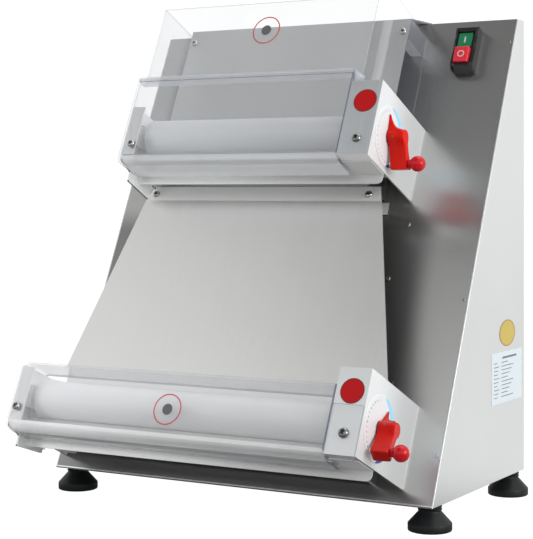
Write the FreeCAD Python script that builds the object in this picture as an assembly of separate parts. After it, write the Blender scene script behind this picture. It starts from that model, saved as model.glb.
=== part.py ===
import FreeCAD, Part
import os
from math import sin, cos, tan, pi, radians, degrees, atan2, hypot, sqrt
from FreeCAD import Vector as V

os.makedirs("parts", exist_ok=True)

# ---------------------------------------------------------------- dimensions (mm)
SLOPE = radians(24.9)          # front panel leans back from the vertical
CAB_HALF_W = 260.0             # half width over the side panels
CAB_DEPTH = 283.0              # depth of the cabinet at its bottom
CAB_H = 565.0                  # cabinet height without the feet
CAB_TOP_Y = 262.3              # front edge of the cabinet's top
SHEET = 2.0                    # cabinet sheet thickness
FOOT_H = 30.0                  # floor to cabinet bottom
FOOT_R = 25.0                  # foot pad radius
FOOT_X = 245.0                 # feet stand this far out from the middle
FOOT_Y = (27.0, 266.0)         # and this far behind the cabinet's front edge
Y_SHIFT = -91.7225               # brings the origin under the middle of the whole box

ROLLER_R = 23.5                # rollers are 47 mm over
REAR_N = 43.5                  # rear roller axis, out from the front panel
PIVOT_N = 89.5                 # lever axis, out from the front panel
AXIS_S = 43.0                  # roller axes above a unit's bottom edge, up the slope
GAP_MAX = 5.5                  # widest gap between two rollers
TRAVEL = 5.0                   # travel of a front roller over the lever's 180 degrees
UNIT_H = 98.0                  # height of a gear case along the slope
UNIT_D = 131.0                 # depth of a gear case out from the panel
HOOD_TOP = 602.0               # top of the hood, up the slope
GEAR_M, GEAR_Z = 4.0, 12       # long-tooth spur gears

# each roller unit: bottom edge s0, left plate xl, right bearing plate xb, gear case outer face xf,
# pointer angle of its lever from straight up the slope towards the operator (degrees)
UPPER = dict(s0=372.0, xl=-190.0, xb=121.0, xf=162.0, ptr=22.0, sx=143.0, ss=21.5)
LOWER = dict(s0=17.5, xl=-250.0, xb=183.0, xf=221.5, ptr=-28.0, sx=202.5, ss=24.0)

sp, cp = sin(SLOPE), cos(SLOPE)
S_TOP = CAB_H / cp             # slope length of the front panel

# ---------------------------------------------------------------- helpers
ORIGIN = V(0, Y_SHIFT, FOOT_H)


def box(x0, x1, y0, y1, z0, z1):
    return Part.makeBox(abs(x1 - x0), abs(y1 - y0), abs(z1 - z0), V(min(x0, x1), min(y0, y1), min(z0, z1)))


def cyl(p, axis, r, h):
    a = {"x": V(1, 0, 0), "y": V(0, 1, 0), "z": V(0, 0, 1)}[axis]
    return Part.makeCylinder(r, h, V(*p), a)


def cylx(x0, x1, a, b, r):
    return Part.makeCylinder(r, abs(x1 - x0), V(min(x0, x1), a, b), V(1, 0, 0))


def cyln(x, s, n0, n1, r):
    """cylinder along the panel's outward normal, in slope coordinates"""
    return Part.makeCylinder(r, abs(n1 - n0), V(x, s, min(n0, n1)), V(0, 0, 1))


def prism_x(pts, x0, x1):
    """polygon of (a, b) pairs in the plane across X, extruded from x0 to x1"""
    vs = [V(x0, a, b) for a, b in pts]
    return Part.Face(Part.makePolygon(vs + [vs[0]])).extrude(V(x1 - x0, 0, 0))


def prism_z(pts, z0, z1):
    vs = [V(a, b, z0) for a, b in pts]
    return Part.Face(Part.makePolygon(vs + [vs[0]])).extrude(V(0, 0, z1 - z0))


def loft_x(sections):
    """sections: list of (x, [(a, b), ...])"""
    ws = [Part.makePolygon([V(x, a, b) for a, b in p] + [V(x, *p[0])]) for x, p in sections]
    return Part.makeLoft(ws, True, True)


def fuse(*s):
    r = s[0].multiFuse(list(s[1:])) if len(s) > 1 else s[0]
    return r.removeSplitter()


def group(*s):
    return Part.makeCompound(list(s))


def slope(shape):
    """(x, s, n) slope coordinates -> world"""
    r = shape.copy()
    r.rotate(V(0, 0, 0), V(1, 0, 0), 90.0 - degrees(SLOPE))
    return r


def world(shape):
    r = shape.copy()
    r.translate(ORIGIN)
    return r


def arc(cx, cy, r, a0, a1, k=7):
    return [(cx + r * cos(radians(a0 + (a1 - a0) * i / k)), cy + r * sin(radians(a0 + (a1 - a0) * i / k)))
            for i in range(k + 1)]


def strip(path, t):
    """closed polygon of a sheet of thickness t whose outer line is path (sheet lies on its left)"""
    out, n = [], len(path)
    for i in range(n):
        a = path[max(i - 1, 0)]
        b = path[i]
        c = path[min(i + 1, n - 1)]
        d1 = (b[0] - a[0], b[1] - a[1]) if i > 0 else (c[0] - b[0], c[1] - b[1])
        d2 = (c[0] - b[0], c[1] - b[1]) if i < n - 1 else d1
        l1, l2 = hypot(*d1), hypot(*d2)
        n1, n2 = (-d1[1] / l1, d1[0] / l1), (-d2[1] / l2, d2[0] / l2)
        m = (n1[0] + n2[0], n1[1] + n2[1])
        k = t * 2.0 / (m[0] ** 2 + m[1] ** 2)
        out.append((b[0] + m[0] * k, b[1] + m[1] * k))
    return list(path) + out[::-1]


parts = {}


def put(name, shape, sloped=True):
    s = slope(shape) if sloped else shape
    parts[name] = world(s)


def screw(x, s, n, r=4.0, h=2.6, shank=8.0, rs=2.0):
    """pan-head screw seated on a face at height n, in slope coordinates"""
    head = cyln(x, s, n, n + h, r)
    try:
        top = [e for e in head.Edges if abs(e.BoundBox.ZMin - (n + h)) < 0.01 and e.BoundBox.ZLength < 0.01 and e.Length > 1]
        head = head.makeFillet(min(1.6, h * 0.6), top[:1])
    except Exception:
        pass
    w = r * 0.55
    head = head.cut(box(x - w, x + w, s - 0.45, s + 0.45, n + h - 1.1, n + h + 1))
    head = head.cut(box(x - 0.45, x + 0.45, s - w, s + w, n + h - 1.1, n + h + 1))
    return head.fuse(cyln(x, s, n - shank, n + 0.01, rs)).removeSplitter()


# ---------------------------------------------------------------- cabinet
W = CAB_HALF_W - SHEET
inner = W - 0.0
# windows in the front panel for the two drive belts, and the switch's cut-out
WIN_U = (139.0, 158.5, 393.0, 468.0)
WIN_L = (199.0, 217.0, 42.0, 112.0)
SW_X, SW_S = 200.0, 576.0      # switch centre on the panel
SW_W, SW_H = 31.0, 62.0        # switch face

panel = box(-W, W, 0, S_TOP - 0.6, -SHEET, 0)
# top return and bottom return, folded from the same sheet
slots = [box(WIN_U[0], WIN_U[1], WIN_U[2], WIN_U[3], -10, 10),
         box(WIN_L[0], WIN_L[1], WIN_L[2], WIN_L[3], -10, 10),
         box(SW_X - 13.5, SW_X + 13.5, SW_S - 22.5, SW_S + 22.5, -10, 10)]
panel_screw_at = [(151.6, 270.3), (164.3, 341.2), (253.6, 246.4), (253.6, 589.6), (253.6, 60.0),
                  (-253.6, 246.4), (-253.6, 589.6), (-253.6, 60.0)]
for i, (x, s) in enumerate(panel_screw_at):
    slots.append(cyln(x, s, -10, 10, 1.75 if i < 2 else 1.15))
panel = panel.cut(group(*slots))
panel = slope(panel)
top_ret = prism_x([(CAB_TOP_Y - 0.2, CAB_H), (CAB_DEPTH, CAB_H), (CAB_DEPTH, CAB_H - SHEET),
                   (CAB_TOP_Y + 0.7, CAB_H - SHEET)], -W, W)
back_ret = box(-W, W, CAB_DEPTH - SHEET, CAB_DEPTH, CAB_H - 14.0, CAB_H)
bot_ret = prism_x([(0.0, 0.0), (16.0, 0.0), (16.0, SHEET), (0.9, SHEET)], -W, W)
keep = prism_x([(-20, 0), (CAB_DEPTH + 20, 0), (CAB_DEPTH + 20, CAB_H), (-20, CAB_H)], -W, W)
panel = panel.common(keep)
parts["front_panel"] = world(fuse(panel, top_ret, back_ret, bot_ret))

side = [(0.0, 0.0), (CAB_DEPTH, 0.0), (CAB_DEPTH, CAB_H), (CAB_TOP_Y, CAB_H)]


def side_panel(sg):
    x0, x1 = (W, CAB_HALF_W) if sg > 0 else (-CAB_HALF_W, -W)
    p = prism_x(side, x0, x1)
    # inward flanges that the base plate and the rear panel are screwed to
    xi = sg * (W - 13.0)
    fb = box(min(sg * W, xi), max(sg * W, xi), 20.0, CAB_DEPTH - 4.2, SHEET + 0.1, 2 * SHEET + 0.1)
    fr = box(min(sg * W, xi), max(sg * W, xi), CAB_DEPTH - 2 * SHEET - 0.1, CAB_DEPTH - SHEET - 0.1, 6.0, CAB_H - 18.0)
    web_b = box(min(sg * W, sg * (W - 0.0)), max(sg * W, sg * (W - 0.0)) + 0.001, 0, 1, 0, 1)
    return fuse(p, fb, fr)


put("right_side_panel", side_panel(1), False)
put("left_side_panel", side_panel(-1), False)

# rear panel with louvre slots and the hole of the cord inlet
rear = box(-W, W, CAB_DEPTH - SHEET, CAB_DEPTH, 6.0, CAB_H - 14.4)
cuts = []
for row, z0 in enumerate((70.0, 420.0)):
    for i in range(7):
        for xc in (-95.0, 95.0):
            cuts.append(box(xc - 55, xc + 55, CAB_DEPTH - 10, CAB_DEPTH + 10, z0 + i * 12.0, z0 + i * 12.0 + 4.6))
GLAND = (180.0, 60.0)          # x, z of the cord inlet
cuts.append(cyl((GLAND[0], CAB_DEPTH - 10, GLAND[1]), "y", 8.05, 20))
rear_screw_at = [(sx * (W - 7.0), z) for sx in (-1, 1) for z in (30.0, 200.0, 380.0, 535.0)]
for x, z in rear_screw_at:
    cuts.append(cyl((x, CAB_DEPTH - 10, z), "y", 2.1, 20))
rear = rear.cut(group(*cuts))
put("rear_panel", rear, False)

foot_at = {"front_left": (-FOOT_X, FOOT_Y[0]), "front_right": (FOOT_X, FOOT_Y[0]),
           "rear_left": (-FOOT_X, FOOT_Y[1]), "rear_right": (FOOT_X, FOOT_Y[1])}
base = box(-W, W, 16.2, CAB_DEPTH - SHEET - 0.1, 0.0, SHEET)
bosses = [cyl((x, y, SHEET), "z", 9.0, 10.0) for x, y in foot_at.values()]
bcut = [cyl((x, y, -5), "z", 4.05, 30.0) for x, y in foot_at.values()]
for i in range(6):
    bcut.append(box(-150, -60, 60 + i * 14.0, 65 + i * 14.0, -5, 10))
base = fuse(base, *bosses).cut(group(*bcut))
clip = box(-W, W, 16.2, CAB_DEPTH - 2 * SHEET - 0.3, -1, 40)
flange_gap = group(box(W - 13.3, W + 1, 19.5, CAB_DEPTH - 4.0, SHEET, 2 * SHEET + 0.3),
                   box(-W - 1, -W + 13.3, 19.5, CAB_DEPTH - 4.0, SHEET, 2 * SHEET + 0.3))
put("base_plate", base, False)
# the foot bosses pass through notches in the side flanges
for k, sg in (("right_side_panel", 1), ("left_side_panel", -1)):
    sh = parts[k]
    for nm, (x, y) in foot_at.items():
        if x * sg > 0:
            sh = sh.cut(world(cyl((x, y, SHEET), "z", 9.6, 14.0)))
    for x, z in rear_screw_at:
        if x * sg > 0:
            sh = sh.cut(world(cyl((x, CAB_DEPTH - 9.0, z), "y", 2.1, 12.0)))
    parts[k] = sh.removeSplitter()

# ---------------------------------------------------------------- feed plate (flat slide under the hood)
FP_X0, FP_X1, FP_N = -188.0, 138.0, 48.0
FP_S0, FP_S1 = 441.0, 603.0
fp = box(FP_X0, FP_X1, FP_S0, FP_S1, FP_N - 1.5, FP_N)
# box section along its top: side walls, bottom flanges and feet on the front panel
FP_B = 576.0
fp_l = box(FP_X0, FP_X0 + 1.5, FP_B, FP_S1, 0.0, FP_N)
fp_r = box(FP_X1 - 1.5, FP_X1, FP_B, FP_S1, 0.0, FP_N)
fp_lb = box(FP_X0, FP_X0 + 16.0, FP_B, FP_B + 1.5, 1.0, FP_N)
fp_rb = box(FP_X1 - 16.0, FP_X1, FP_B, FP_B + 1.5, 1.0, FP_N)
fp_lf = box(FP_X0, FP_X0 + 14.0, FP_B, FP_S1, 0.0, 1.5)
fp_rf = box(FP_X1 - 14.0, FP_X1, FP_B, FP_S1, 0.0, 1.5)
feed = fuse(fp, fp_l, fp_r, fp_lb, fp_rb, fp_lf, fp_rf)
# the part of the plate beside the right bearing plate is cut away
feed = feed.cut(box(120.6, FP_X1 + 1, FP_S0 - 5, 473.5, -1, 80))
# and its lower left corner clears the unit's left plate
feed = feed.cut(box(FP_X0 - 1, -186.7, FP_S0 - 5, 457.0, -1, 80))
fp_screws = [(130.0, 585.0), (-181.0, 585.0)]
for x, s in fp_screws:
    feed = feed.cut(cyln(x, s, FP_N - 5, FP_N + 5, 2.1))
feed_w = slope(feed)
# level top flange that closes the box back onto the cabinet's top edge
ytop = FP_S1 * sp - FP_N * cp
ztop = FP_S1 * cp + FP_N * sp
tf = prism_x([(ytop, ztop), (CAB_TOP_Y + 12.0, ztop), (CAB_TOP_Y + 12.0, ztop - 1.5), (ytop + 0.7, ztop - 1.5)], FP_X0, FP_X1)
feed_w = fuse(feed_w, tf.cut(prism_x([(0, -10), (300, -10), (300, CAB_H), (0, CAB_H)], -400, 400)))
parts["feed_plate"] = world(feed_w)

# ---------------------------------------------------------------- chute plate between the two units
CH_N = 45.0
CH_C = -24.5


def half_w(s):
    return 223.0 + (131.0 - s) * (223.0 - 170.6) / (352.0 - 131.0)


def ch_pts(s0, s1, dx=0.0):
    return [(CH_C - half_w(s0) + dx, s0), (CH_C + half_w(s0) - dx, s0), (CH_C + half_w(s1) - dx, s1), (CH_C - half_w(s1) + dx, s1)]


main = prism_z(ch_pts(119.0, 352.0), CH_N - 1.5, CH_N)
tongue = box(-244.0, 179.0, 86.0, 119.0, CH_N - 1.5, CH_N)
# bent top strip that is screwed to the ears of the upper unit
BEND = radians(9.0)
st = [(352.0, CH_N), (352.0 + 21.0 * cos(BEND), CH_N - 21.0 * sin(BEND))]
strip_pts = [st[0], st[1], (st[1][0] - 1.5 * sin(BEND), st[1][1] - 1.5 * cos(BEND)), (352.0 - 1.5 * tan(BEND / 2), CH_N - 1.5)]
top_strip = prism_x(strip_pts, CH_C - 171.5, CH_C + 171.5)
for sg in (-1, 1):
    top_strip = top_strip.cut(prism_z([(CH_C + sg * 170.6, 351.0), (CH_C + sg * 164.0, 374.0), (CH_C + sg * 180.0, 374.0), (CH_C + sg * 180.0, 351.0)], 30.0, 60.0))
ch_screws = [(-182.0, 361.5), (126.5, 361.5), (-225.0, 135.0), (176.0, 135.0)]
chute = fuse(main, tongue, top_strip)
chute = chute.cut(box(-196.0, -186.6, 368.0, 380.0, 20.0, 60.0))
for x, s in ch_screws:
    chute = chute.cut(cyln(x, s, 20, 60, 2.1))
put("chute_plate", chute)


# four posts that carry the chute plate off the front panel: bent feet on the panel, faces under the plate
def post(x, s, n_top, tilt=0.0):
    g = []
    face = [(s - 8, n_top - 1.5), (s + 8, n_top - 1.5 - 16 * tan(tilt)), (s + 8, n_top - 3.2 - 16 * tan(tilt)), (s - 8, n_top - 3.2)]
    g.append(prism_x(face, x - 8, x + 8))
    g.append(box(x - 8, x - 6, s - 8, s + 8, 0.0, n_top - 2.2 - 16 * tan(tilt)))
    g.append(box(x - 8, x + 8, s - 8, s + 8, 0.0, 1.6))
    r = fuse(*g)
    return r.cut(cyln(x, s, 20, 60, 2.5))


def bent_n(s):
    return CH_N - max(0.0, s - 352.0) * tan(BEND)


posts = []
for x, s in ch_screws[:2]:
    posts.append(post(x, s, bent_n(s - 8) - 0.02, BEND))
for x, s in ch_screws[2:]:
    posts.append(post(x, s, CH_N))
put("chute_brackets", group(*posts))


# ---------------------------------------------------------------- guards (clear, vacuum-formed)
T_G = 2.5


def guard_upper():
    s0 = UPPER["s0"]
    f = UNIT_D
    prof = [(s0 - 6.0, 88.0), (s0 - 6.0, f - 12.0)] + arc(s0 + 6.0, f - 12.0, 12.0, 180, 90, 6)[1:]
    prof += [(s0 + 108.0, f)] + arc(s0 + 108.0, f - 8.0, 8.0, 90, 0, 5)[1:]
    prof += [(s0 + 116.0, 118.0)] + arc(s0 + 124.0, 118.0, 8.0, 180, 270, 5)[1:]
    prof += [(HOOD_TOP, 110.0)]
    band = prism_x(strip(prof, -T_G)[::1], -197.0, 120.8)
    hood_prof = [(475.0, 60.0), (475.0, 102.0)] + arc(483.0, 102.0, 8.0, 180, 90, 5)[1:] + [(HOOD_TOP, 110.0)]
    hood = prism_x(strip(hood_prof, -T_G), 120.8, 143.0)
    lw = [(s0 - 6.0, 60.0)] + prof[1:] + [(HOOD_TOP, 1.0), (459.0, 1.0), (430.0, 60.0)]
    left = prism_x(lw, -197.0, -197.0 + T_G)
    rw = [(475.0, 1.0), (475.0, 102.0)] + arc(483.0, 102.0, 8.0, 180, 90, 5)[1:] + [(HOOD_TOP, 110.0), (HOOD_TOP, 1.0)]
    right = prism_x(rw, 143.0 - T_G, 143.0)
    # small web that closes the step beside the gear case
    web = prism_x([(s0 + 100.2, 98.0), (s0 + 100.2, f - 3.0), (s0 + 110.0, f - 1.0), (s0 + 115.0, f - 8.0), (s0 + 116.0, 118.0), (s0 + 118.0, 111.0), (s0 + 118.0, 98.0)],
                  120.8 - T_G, 120.8)
    g = fuse(band, hood, left, right, web)
    g = g.cut(box(UPPER["xl"] - 0.4, UPPER["xl"] + 3.4, s0 - 8.0, s0 - 3.2, 80.0, 112.5))
    return g.cut(cyln(UPPER["xl"] + 10.5, s0 + 24.5, 100, 150, 2.1))


def guard_lower():
    s0 = LOWER["s0"]
    f = UNIT_D
    prof = [(s0 - 6.0, 88.0), (s0 - 6.0, f - 12.0)] + arc(s0 + 6.0, f - 12.0, 12.0, 180, 90, 6)[1:]
    prof += [(s0 + 73.5, f)] + arc(s0 + 73.5, f - 8.0, 8.0, 90, 0, 5)[1:] + [(s0 + 80.5, 78.0)]
    band = prism_x(strip(prof, -T_G), -255.0, 182.6)
    lw = [(s0 - 6.0, 40.0)] + prof[1:] + [(s0 + 80.5, 52.0), (s0 + 60.0, 40.0)]
    left = prism_x(lw, -255.0, -255.0 + T_G)
    g = fuse(band, left)
    g = g.cut(box(LOWER["xl"] - 0.4, LOWER["xl"] + 3.4, s0 - 8.0, s0 - 3.2, 80.0, 112.5))
    return g.cut(cyln(LOWER["xl"] + 10.5, s0 + 24.5, 100, 150, 2.1))


put("upper_guard", guard_upper())
put("lower_guard", guard_lower())


# ---------------------------------------------------------------- gears, lever and the other unit pieces
def gear(x0, x1, s, n, phase, bore):
    rp, ro, rr = GEAR_M * GEAR_Z / 2, GEAR_M * GEAR_Z / 2 + 4.0, GEAR_M * GEAR_Z / 2 - 5.0
    pts = []
    ht = 5.0 / 2
    for i in range(GEAR_Z):
        a = radians(phase + i * 360.0 / GEAR_Z)
        for r, w in ((rr, ht + 5 * tan(radians(20)) * 0.82), (rp, ht), (ro, ht - 4 * tan(radians(20)))):
            pts.append((r, a - w / r))
        for r, w in ((ro, ht - 4 * tan(radians(20))), (rp, ht), (rr, ht + 5 * tan(radians(20)) * 0.82)):
            pts.append((r, a + w / r))
    poly = [(s + r * sin(a), n + r * cos(a)) for r, a in pts]
    g = prism_x(poly, x0, x1)
    g = g.fuse(cylx(x0 - 0.8, x1 + 0.8, s, n, 13.0)).removeSplitter()
    return g.cut(cylx(x0 - 5, x1 + 5, s, n, bore))


def spiral_r(a):
    """radius of the scroll groove at angle a (radians, 0 = its outermost end)"""
    return 14.0 - a * TRAVEL / pi


def unit(u, name, turn):
    """turn: how far the lever has come from its widest setting, in degrees"""
    s0, xl, xb, xf = u["s0"], u["xl"], u["xb"], u["xf"]
    S = s0 + AXIS_S
    front_n = REAR_N + 2 * ROLLER_R + GAP_MAX - turn / 180.0 * TRAVEL
    out = {}
    lo_n = front_n - TRAVEL * (1 - turn / 180.0)       # nearest the panel
    hi_n = front_n + TRAVEL * (turn / 180.0)           # farthest from the panel
    # slot for a sliding bearing block
    BS, BN = 14.0, 13.0                                # half sizes of a block
    slot_n0, slot_n1 = lo_n - BN - 0.4, hi_n + BN + 0.4

    # --- left bracket: side plate with a folded front flange and an ear under it
    sp_l = prism_x([(s0 - 1.0, 0.0), (s0 + 82.0, 0.0), (s0 + 82.0, 46.0), (s0 + 77.0, 74.0), (s0 + 76.0, 125.6), (s0 + 73.4, 128.2), (s0 + 6.0, 128.2), (s0 + 1.0, 126.0), (s0 - 1.6, 123.4), (s0 - 3.0, 119.0), (s0 - 3.2, 112.0),
                    (s0 - 6.4, 102.5), (s0 - 17.4, 101.6), (s0 - 19.0, 100.6), (s0 - (21.5 if name == "upper" else 13.4), 51.0), (s0 - 1.0, 51.0)], xl, xl + 3.0)
    fl = box(xl, xl + 19.0, s0 + 6.0, s0 + 73.4, 126.2, 128.2)
    foot_fl = box(xl, xl + 16.0, s0 + 2.0, s0 + 78.0, 0.0, 2.0)
    br = fuse(sp_l, fl, foot_fl)
    br = br.cut(cylx(xl - 5, xl + 8, S, REAR_N, 11.0))
    br = br.cut(box(xl - 5, xl + 8, S - BS - 0.3, S + BS + 0.3, slot_n0, slot_n1))
    br = br.cut(cyln(xl + 10.5, s0 + 24.5, 110, 140, 2.1))
    # cross bar under the front roller: web, flap folded down at its back with a rounded corner, end flange on the left ear
    xe = xf - 2.5
    fv = [(xl + 3.05, s0 - 0.05), (xl + 3.05, s0 - 12.8)] + arc(xe - 6.5, s0 - 6.3, 6.5, -90, 0, 8) + [(xe, s0 - 0.05)]
    flap = prism_z(fv, 78.0, 79.6)
    cb = fuse(flap, box(xl + 3.05, xb - 0.3, s0 - 1.6, s0 - 0.05, 78.0, 104.0), box(xb - 0.4, xe, s0 - 1.6, s0 - 0.05, 78.0, 116.0),
              box(xl + 3.05, xl + 4.65, s0 - 12.8, s0 - 0.05, 78.0, 87.4))
    out[name + "_cross_bar"] = cb
    out[name + "_left_bracket"] = br

    # --- right bearing plate
    bp = box(xb, xb + 4.0, s0 + 2.1, s0 + UNIT_H - 2.1, 0.0, UNIT_D - 2.2)
    bp = bp.cut(cylx(xb - 5, xb + 9, S, REAR_N, 11.0))
    bp = bp.cut(box(xb - 5, xb + 9, S - BS - 0.3, S + BS + 0.3, slot_n0, slot_n1))
    out[name + "_bearing_plate"] = bp

    # --- gear case: folded front, outer side, top and bottom
    gc = box(xb, xf, s0, s0 + UNIT_H, 0.0, UNIT_D).cut(box(xb - 1, xf - 2.0, s0 + 2.0, s0 + UNIT_H - 2.0, -1.0, UNIT_D - 2.0))
    gc = gc.cut(cylx(xf - 5, xf + 5, S, PIVOT_N, 9.05))
    gc = gc.cut(box(xb - 1.0, xf - 2.0, s0 - 1.0, s0 + 2.05, -1.0, 78.0))      # bottom stays open towards the panel
    gc = gc.cut(cyln(u["sx"], s0 + u["ss"], 120, 140, 2.1))
    out[name + "_gear_case"] = gc

    # --- dial plate on the case's side, with its ring of index holes
    d = cylx(xf, xf + 0.8, S, PIVOT_N, 37.0).cut(cylx(xf - 1, xf + 2, S, PIVOT_N, 9.05))
    for i in range(19):
        a = radians(22.0 + 10.0 * i)
        d = d.cut(cylx(xf - 1, xf + 2, S + 32.0 * cos(a), PIVOT_N + 32.0 * sin(a), 1.5))
    out[name + "_dial_plate"] = d

    # --- rear roller: sleeve, shaft, cluster of gear and belt pulley
    x_r0, x_r1 = xl + 22.0, xb - 4.0
    sl = cylx(x_r0, x_r1, S, REAR_N, ROLLER_R).cut(cylx(x_r0 - 1, x_r1 + 1, S, REAR_N, 8.0))
    out[name + "_rear_roller"] = sl
    sh = fuse(cylx(x_r0 - 6.0, x_r1 + 2.1, S, REAR_N, 8.0), cylx(xl - 1.5, xf - 3.5, S, REAR_N, 6.0))
    out[name + "_rear_shaft"] = sh
    g = gear(xf - 33.0, xf - 21.0, S, REAR_N, 0.0, 6.0)
    pul = fuse(cylx(xf - 20.2, xf - 17.5, S, REAR_N, 17.0), cylx(xf - 18.5, xf - 6.0, S, REAR_N, 14.0), cylx(xf - 6.8, xf - 5.0, S, REAR_N, 17.0)).cut(cylx(xf - 40, xf, S, REAR_N, 6.0))
    out[name + "_rear_gear"] = fuse(g, pul)

    # --- front roller
    sl = cylx(x_r0, x_r1, S, front_n, ROLLER_R).cut(cylx(x_r0 - 1, x_r1 + 1, S, front_n, 8.0))
    out[name + "_front_roller"] = sl
    sh = fuse(cylx(x_r0 - 6.0, x_r1 + 2.5, S, front_n, 8.0), cylx(xl - 0.5, xf - 14.2, S, front_n, 6.0))
    out[name + "_front_shaft"] = sh
    out[name + "_front_gear"] = gear(xf - 33.0, xf - 21.0, S, front_n, 15.0, 6.0)

    # --- sliding bearing blocks: left, right and the outboard one with the follower pin
    def block(xa, xc, collar):
        b = box(xa, xc, S - BS, S + BS, front_n - BN, front_n + BN)
        b = b.cut(cylx(xa - 5, xc + 5, S, front_n, 6.05))
        return b
    lb = block(xl - 0.5, xl + 9.0, 0)
    rb = block(xb - 1.2, xb + 4.3, 0)
    ob = block(xf - 18.6, xf - 14.0, 0)
    pin = cylx(xf - 14.0 - 0.01, xf - 9.2, S, front_n + (PIVOT_N + 14.0 - (REAR_N + 2 * ROLLER_R + GAP_MAX)), 2.2)
    ob = ob.fuse(pin).removeSplitter()
    out[name + "_bearing_blocks"] = group(lb, rb, ob)
    # front scraper: bent strip tied to the two blocks, its edge close under the roller
    tip_s, tip_n = S - 23.0, front_n + 8.0
    pts = [(S - BS - 0.0, front_n + 9.0), (S - 25.6, front_n + 9.0), (S - 25.6, front_n - 1.0), (S - 24.4, front_n - 1.0), (S - 24.4, front_n + 7.8), (S - BS, front_n + 7.8)]
    strip_x0, strip_x1 = xl + 3.6, xb - 0.6
    scr = prism_x([(S - 34.0, front_n + 9.0), (S - 25.0, front_n + 1.0), (S - 24.2, front_n + 2.0), (S - 33.0, front_n + 10.4)], strip_x0, strip_x1)
    tie = box(strip_x0, strip_x1, S - 35.4, S - 33.0, front_n - 4.0, front_n + 10.4)
    ear_l = fuse(box(xl + 3.6, xl + 5.2, S - 35.4, S - 6.0, front_n + 1.5, front_n + 10.4))
    ear_r = fuse(box(xb - 3.0, xb - 1.4, S - 35.4, S - 6.0, front_n + 1.5, front_n + 10.4))
    scr = fuse(scr, tie, ear_l, ear_r)
    scr = scr.cut(group(lb, rb)).cut(cylx(xl, xb, S, front_n, 8.6))
    sols = sorted(scr.Solids, key=lambda q: -q.Volume)
    out[name + "_front_scraper"] = sols[0]
    # rear scraper: fixed strip under the rear roller
    rs = prism_x([(S - 33.0, REAR_N - 16.0), (S - 24.4, REAR_N - 3.5), (S - 25.6, REAR_N - 2.6), (S - 34.4, REAR_N - 15.2)], xl + 3.05, xb - 0.05)
    rt = box(xl + 3.05, xb - 0.05, S - 36.0, S - 33.0, REAR_N - 22.0, REAR_N - 14.2)
    out[name + "_rear_scraper"] = fuse(rs, rt)

    # --- flanged bearings of the rear shaft
    def bearing(xa, xc, flange_at, sg):
        b = fuse(cylx(xa, xc, S, REAR_N, 10.95), cylx(flange_at, flange_at + sg * 1.6, S, REAR_N, 13.0))
        return b.cut(cylx(xa - 9, xc + 9, S, REAR_N, 6.05))
    out[name + "_bearings"] = [bearing(xl, xl + 3.0, xl + 3.0, 1), bearing(xb, xb + 4.0, xb, -1)]

    # --- lever casting (red) with its scroll shaft
    # drawn with the pointer straight up the slope, then turned about X
    p = u["ptr"]
    hub = cylx(xf + 1.2, xf + 22.5, 0, 0, 9.0)
    hub = hub.fuse(cylx(xf + 1.2, xf + 4.0, 0, 0, 11.0))
    arm = loft_x([(xf + 4.6, [(0, -8.2), (-20, -7.0), (-38.0, -6.2), (-39.6, -4.6), (-39.6, 4.6), (-38.0, 6.2), (-20, 7.0), (0, 8.2)]),
                  (xf + 22.0, [(0, -6.8), (-20, -5.8), (-37.2, -5.2), (-38.6, -3.8), (-38.6, 3.8), (-37.2, 5.2), (-20, 5.8), (0, 6.8)])])
    w1 = [(4.0, -7.4), (4.0, 7.4), (27.6, 1.0), (28.2, 0.0), (27.6, -1.0)]
    ptr = loft_x([(xf + 2.6, w1), (xf + 13.5, [(3.0, -6.6), (3.0, 6.6), (14.6, 1.6), (15.4, 0.0), (14.6, -1.6)])])
    lev = fuse(hub, arm, ptr)
    lev = lev.cut(cylx(xf, xf + 17.0, 0, 0, 5.0))
    lev = lev.cut(cylx(xf - 5, xf + 40, -32.0, 0, 3.05))
    sc = cylx(xf - 10.6, xf - 5.0, 0, 0, 19.0)
    sc = fuse(sc, cylx(xf - 5.1, xf + 1.2, 0, 0, 9.0), cylx(xf + 1.1, xf + 16.8, 0, 0, 5.0))
    # scroll groove, in the frame of the pivot at this lever position
    gr = []
    NSEG = 36
    a_lo, a_hi = radians(-(180.0 - turn) - 6.0), radians(turn + 6.0)
    wv = 2.5
    inner_l, outer_l = [], []
    for i in range(NSEG + 1):
        b = a_lo + (a_hi - a_lo) * i / NSEG        # lever angle, from this one, that brings the point to the pin
        rr = spiral_r(radians(turn) - b)
        inner_l.append(((rr - wv) * sin(b), (rr - wv) * cos(b)))
        outer_l.append(((rr + wv) * sin(b), (rr + wv) * cos(b)))
    groove = prism_x(inner_l + outer_l[::-1], xf - 11.0, xf - 8.2)
    ends = [cylx(xf - 11.0, xf - 8.2, spiral_r(radians(turn) - b) * sin(b), spiral_r(radians(turn) - b) * cos(b), wv) for b in (a_lo, a_hi)]
    sc = sc.cut(group(groove)).cut(ends[0]).cut(ends[1])
    # knob: steel pin through the arm with a ball on its end
    kn = cylx(xf + 1.2, xf + 31.5, -32.0, 0, 3.0)
    ball = Part.makeSphere(9.4, V(xf + 38.5, -32.0, 0))
    ball = ball.fuse(cylx(xf + 26.0, xf + 33.0, -32.0, 0, 4.8)).removeSplitter()
    pin_s = cylx(xf + 1.2, xf + 27.0, -32.0, 0, 3.0)
    for k, shp in ((name + "_lever", lev), (name + "_index_pin", pin_s), (name + "_lever_ball", ball)):
        shp = shp.copy()
        shp.rotate(V(0, 0, 0), V(1, 0, 0), p)
        shp.translate(V(0, S, PIVOT_N))
        out[k] = shp
    sc = sc.copy()
    sc.translate(V(0, S, PIVOT_N))
    out[name + "_scroll_shaft"] = sc
    return out, S, front_n


U, SU, NU = unit(UPPER, "upper", 0.0)
L, SL, NL = unit(LOWER, "lower", 50.0)

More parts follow.
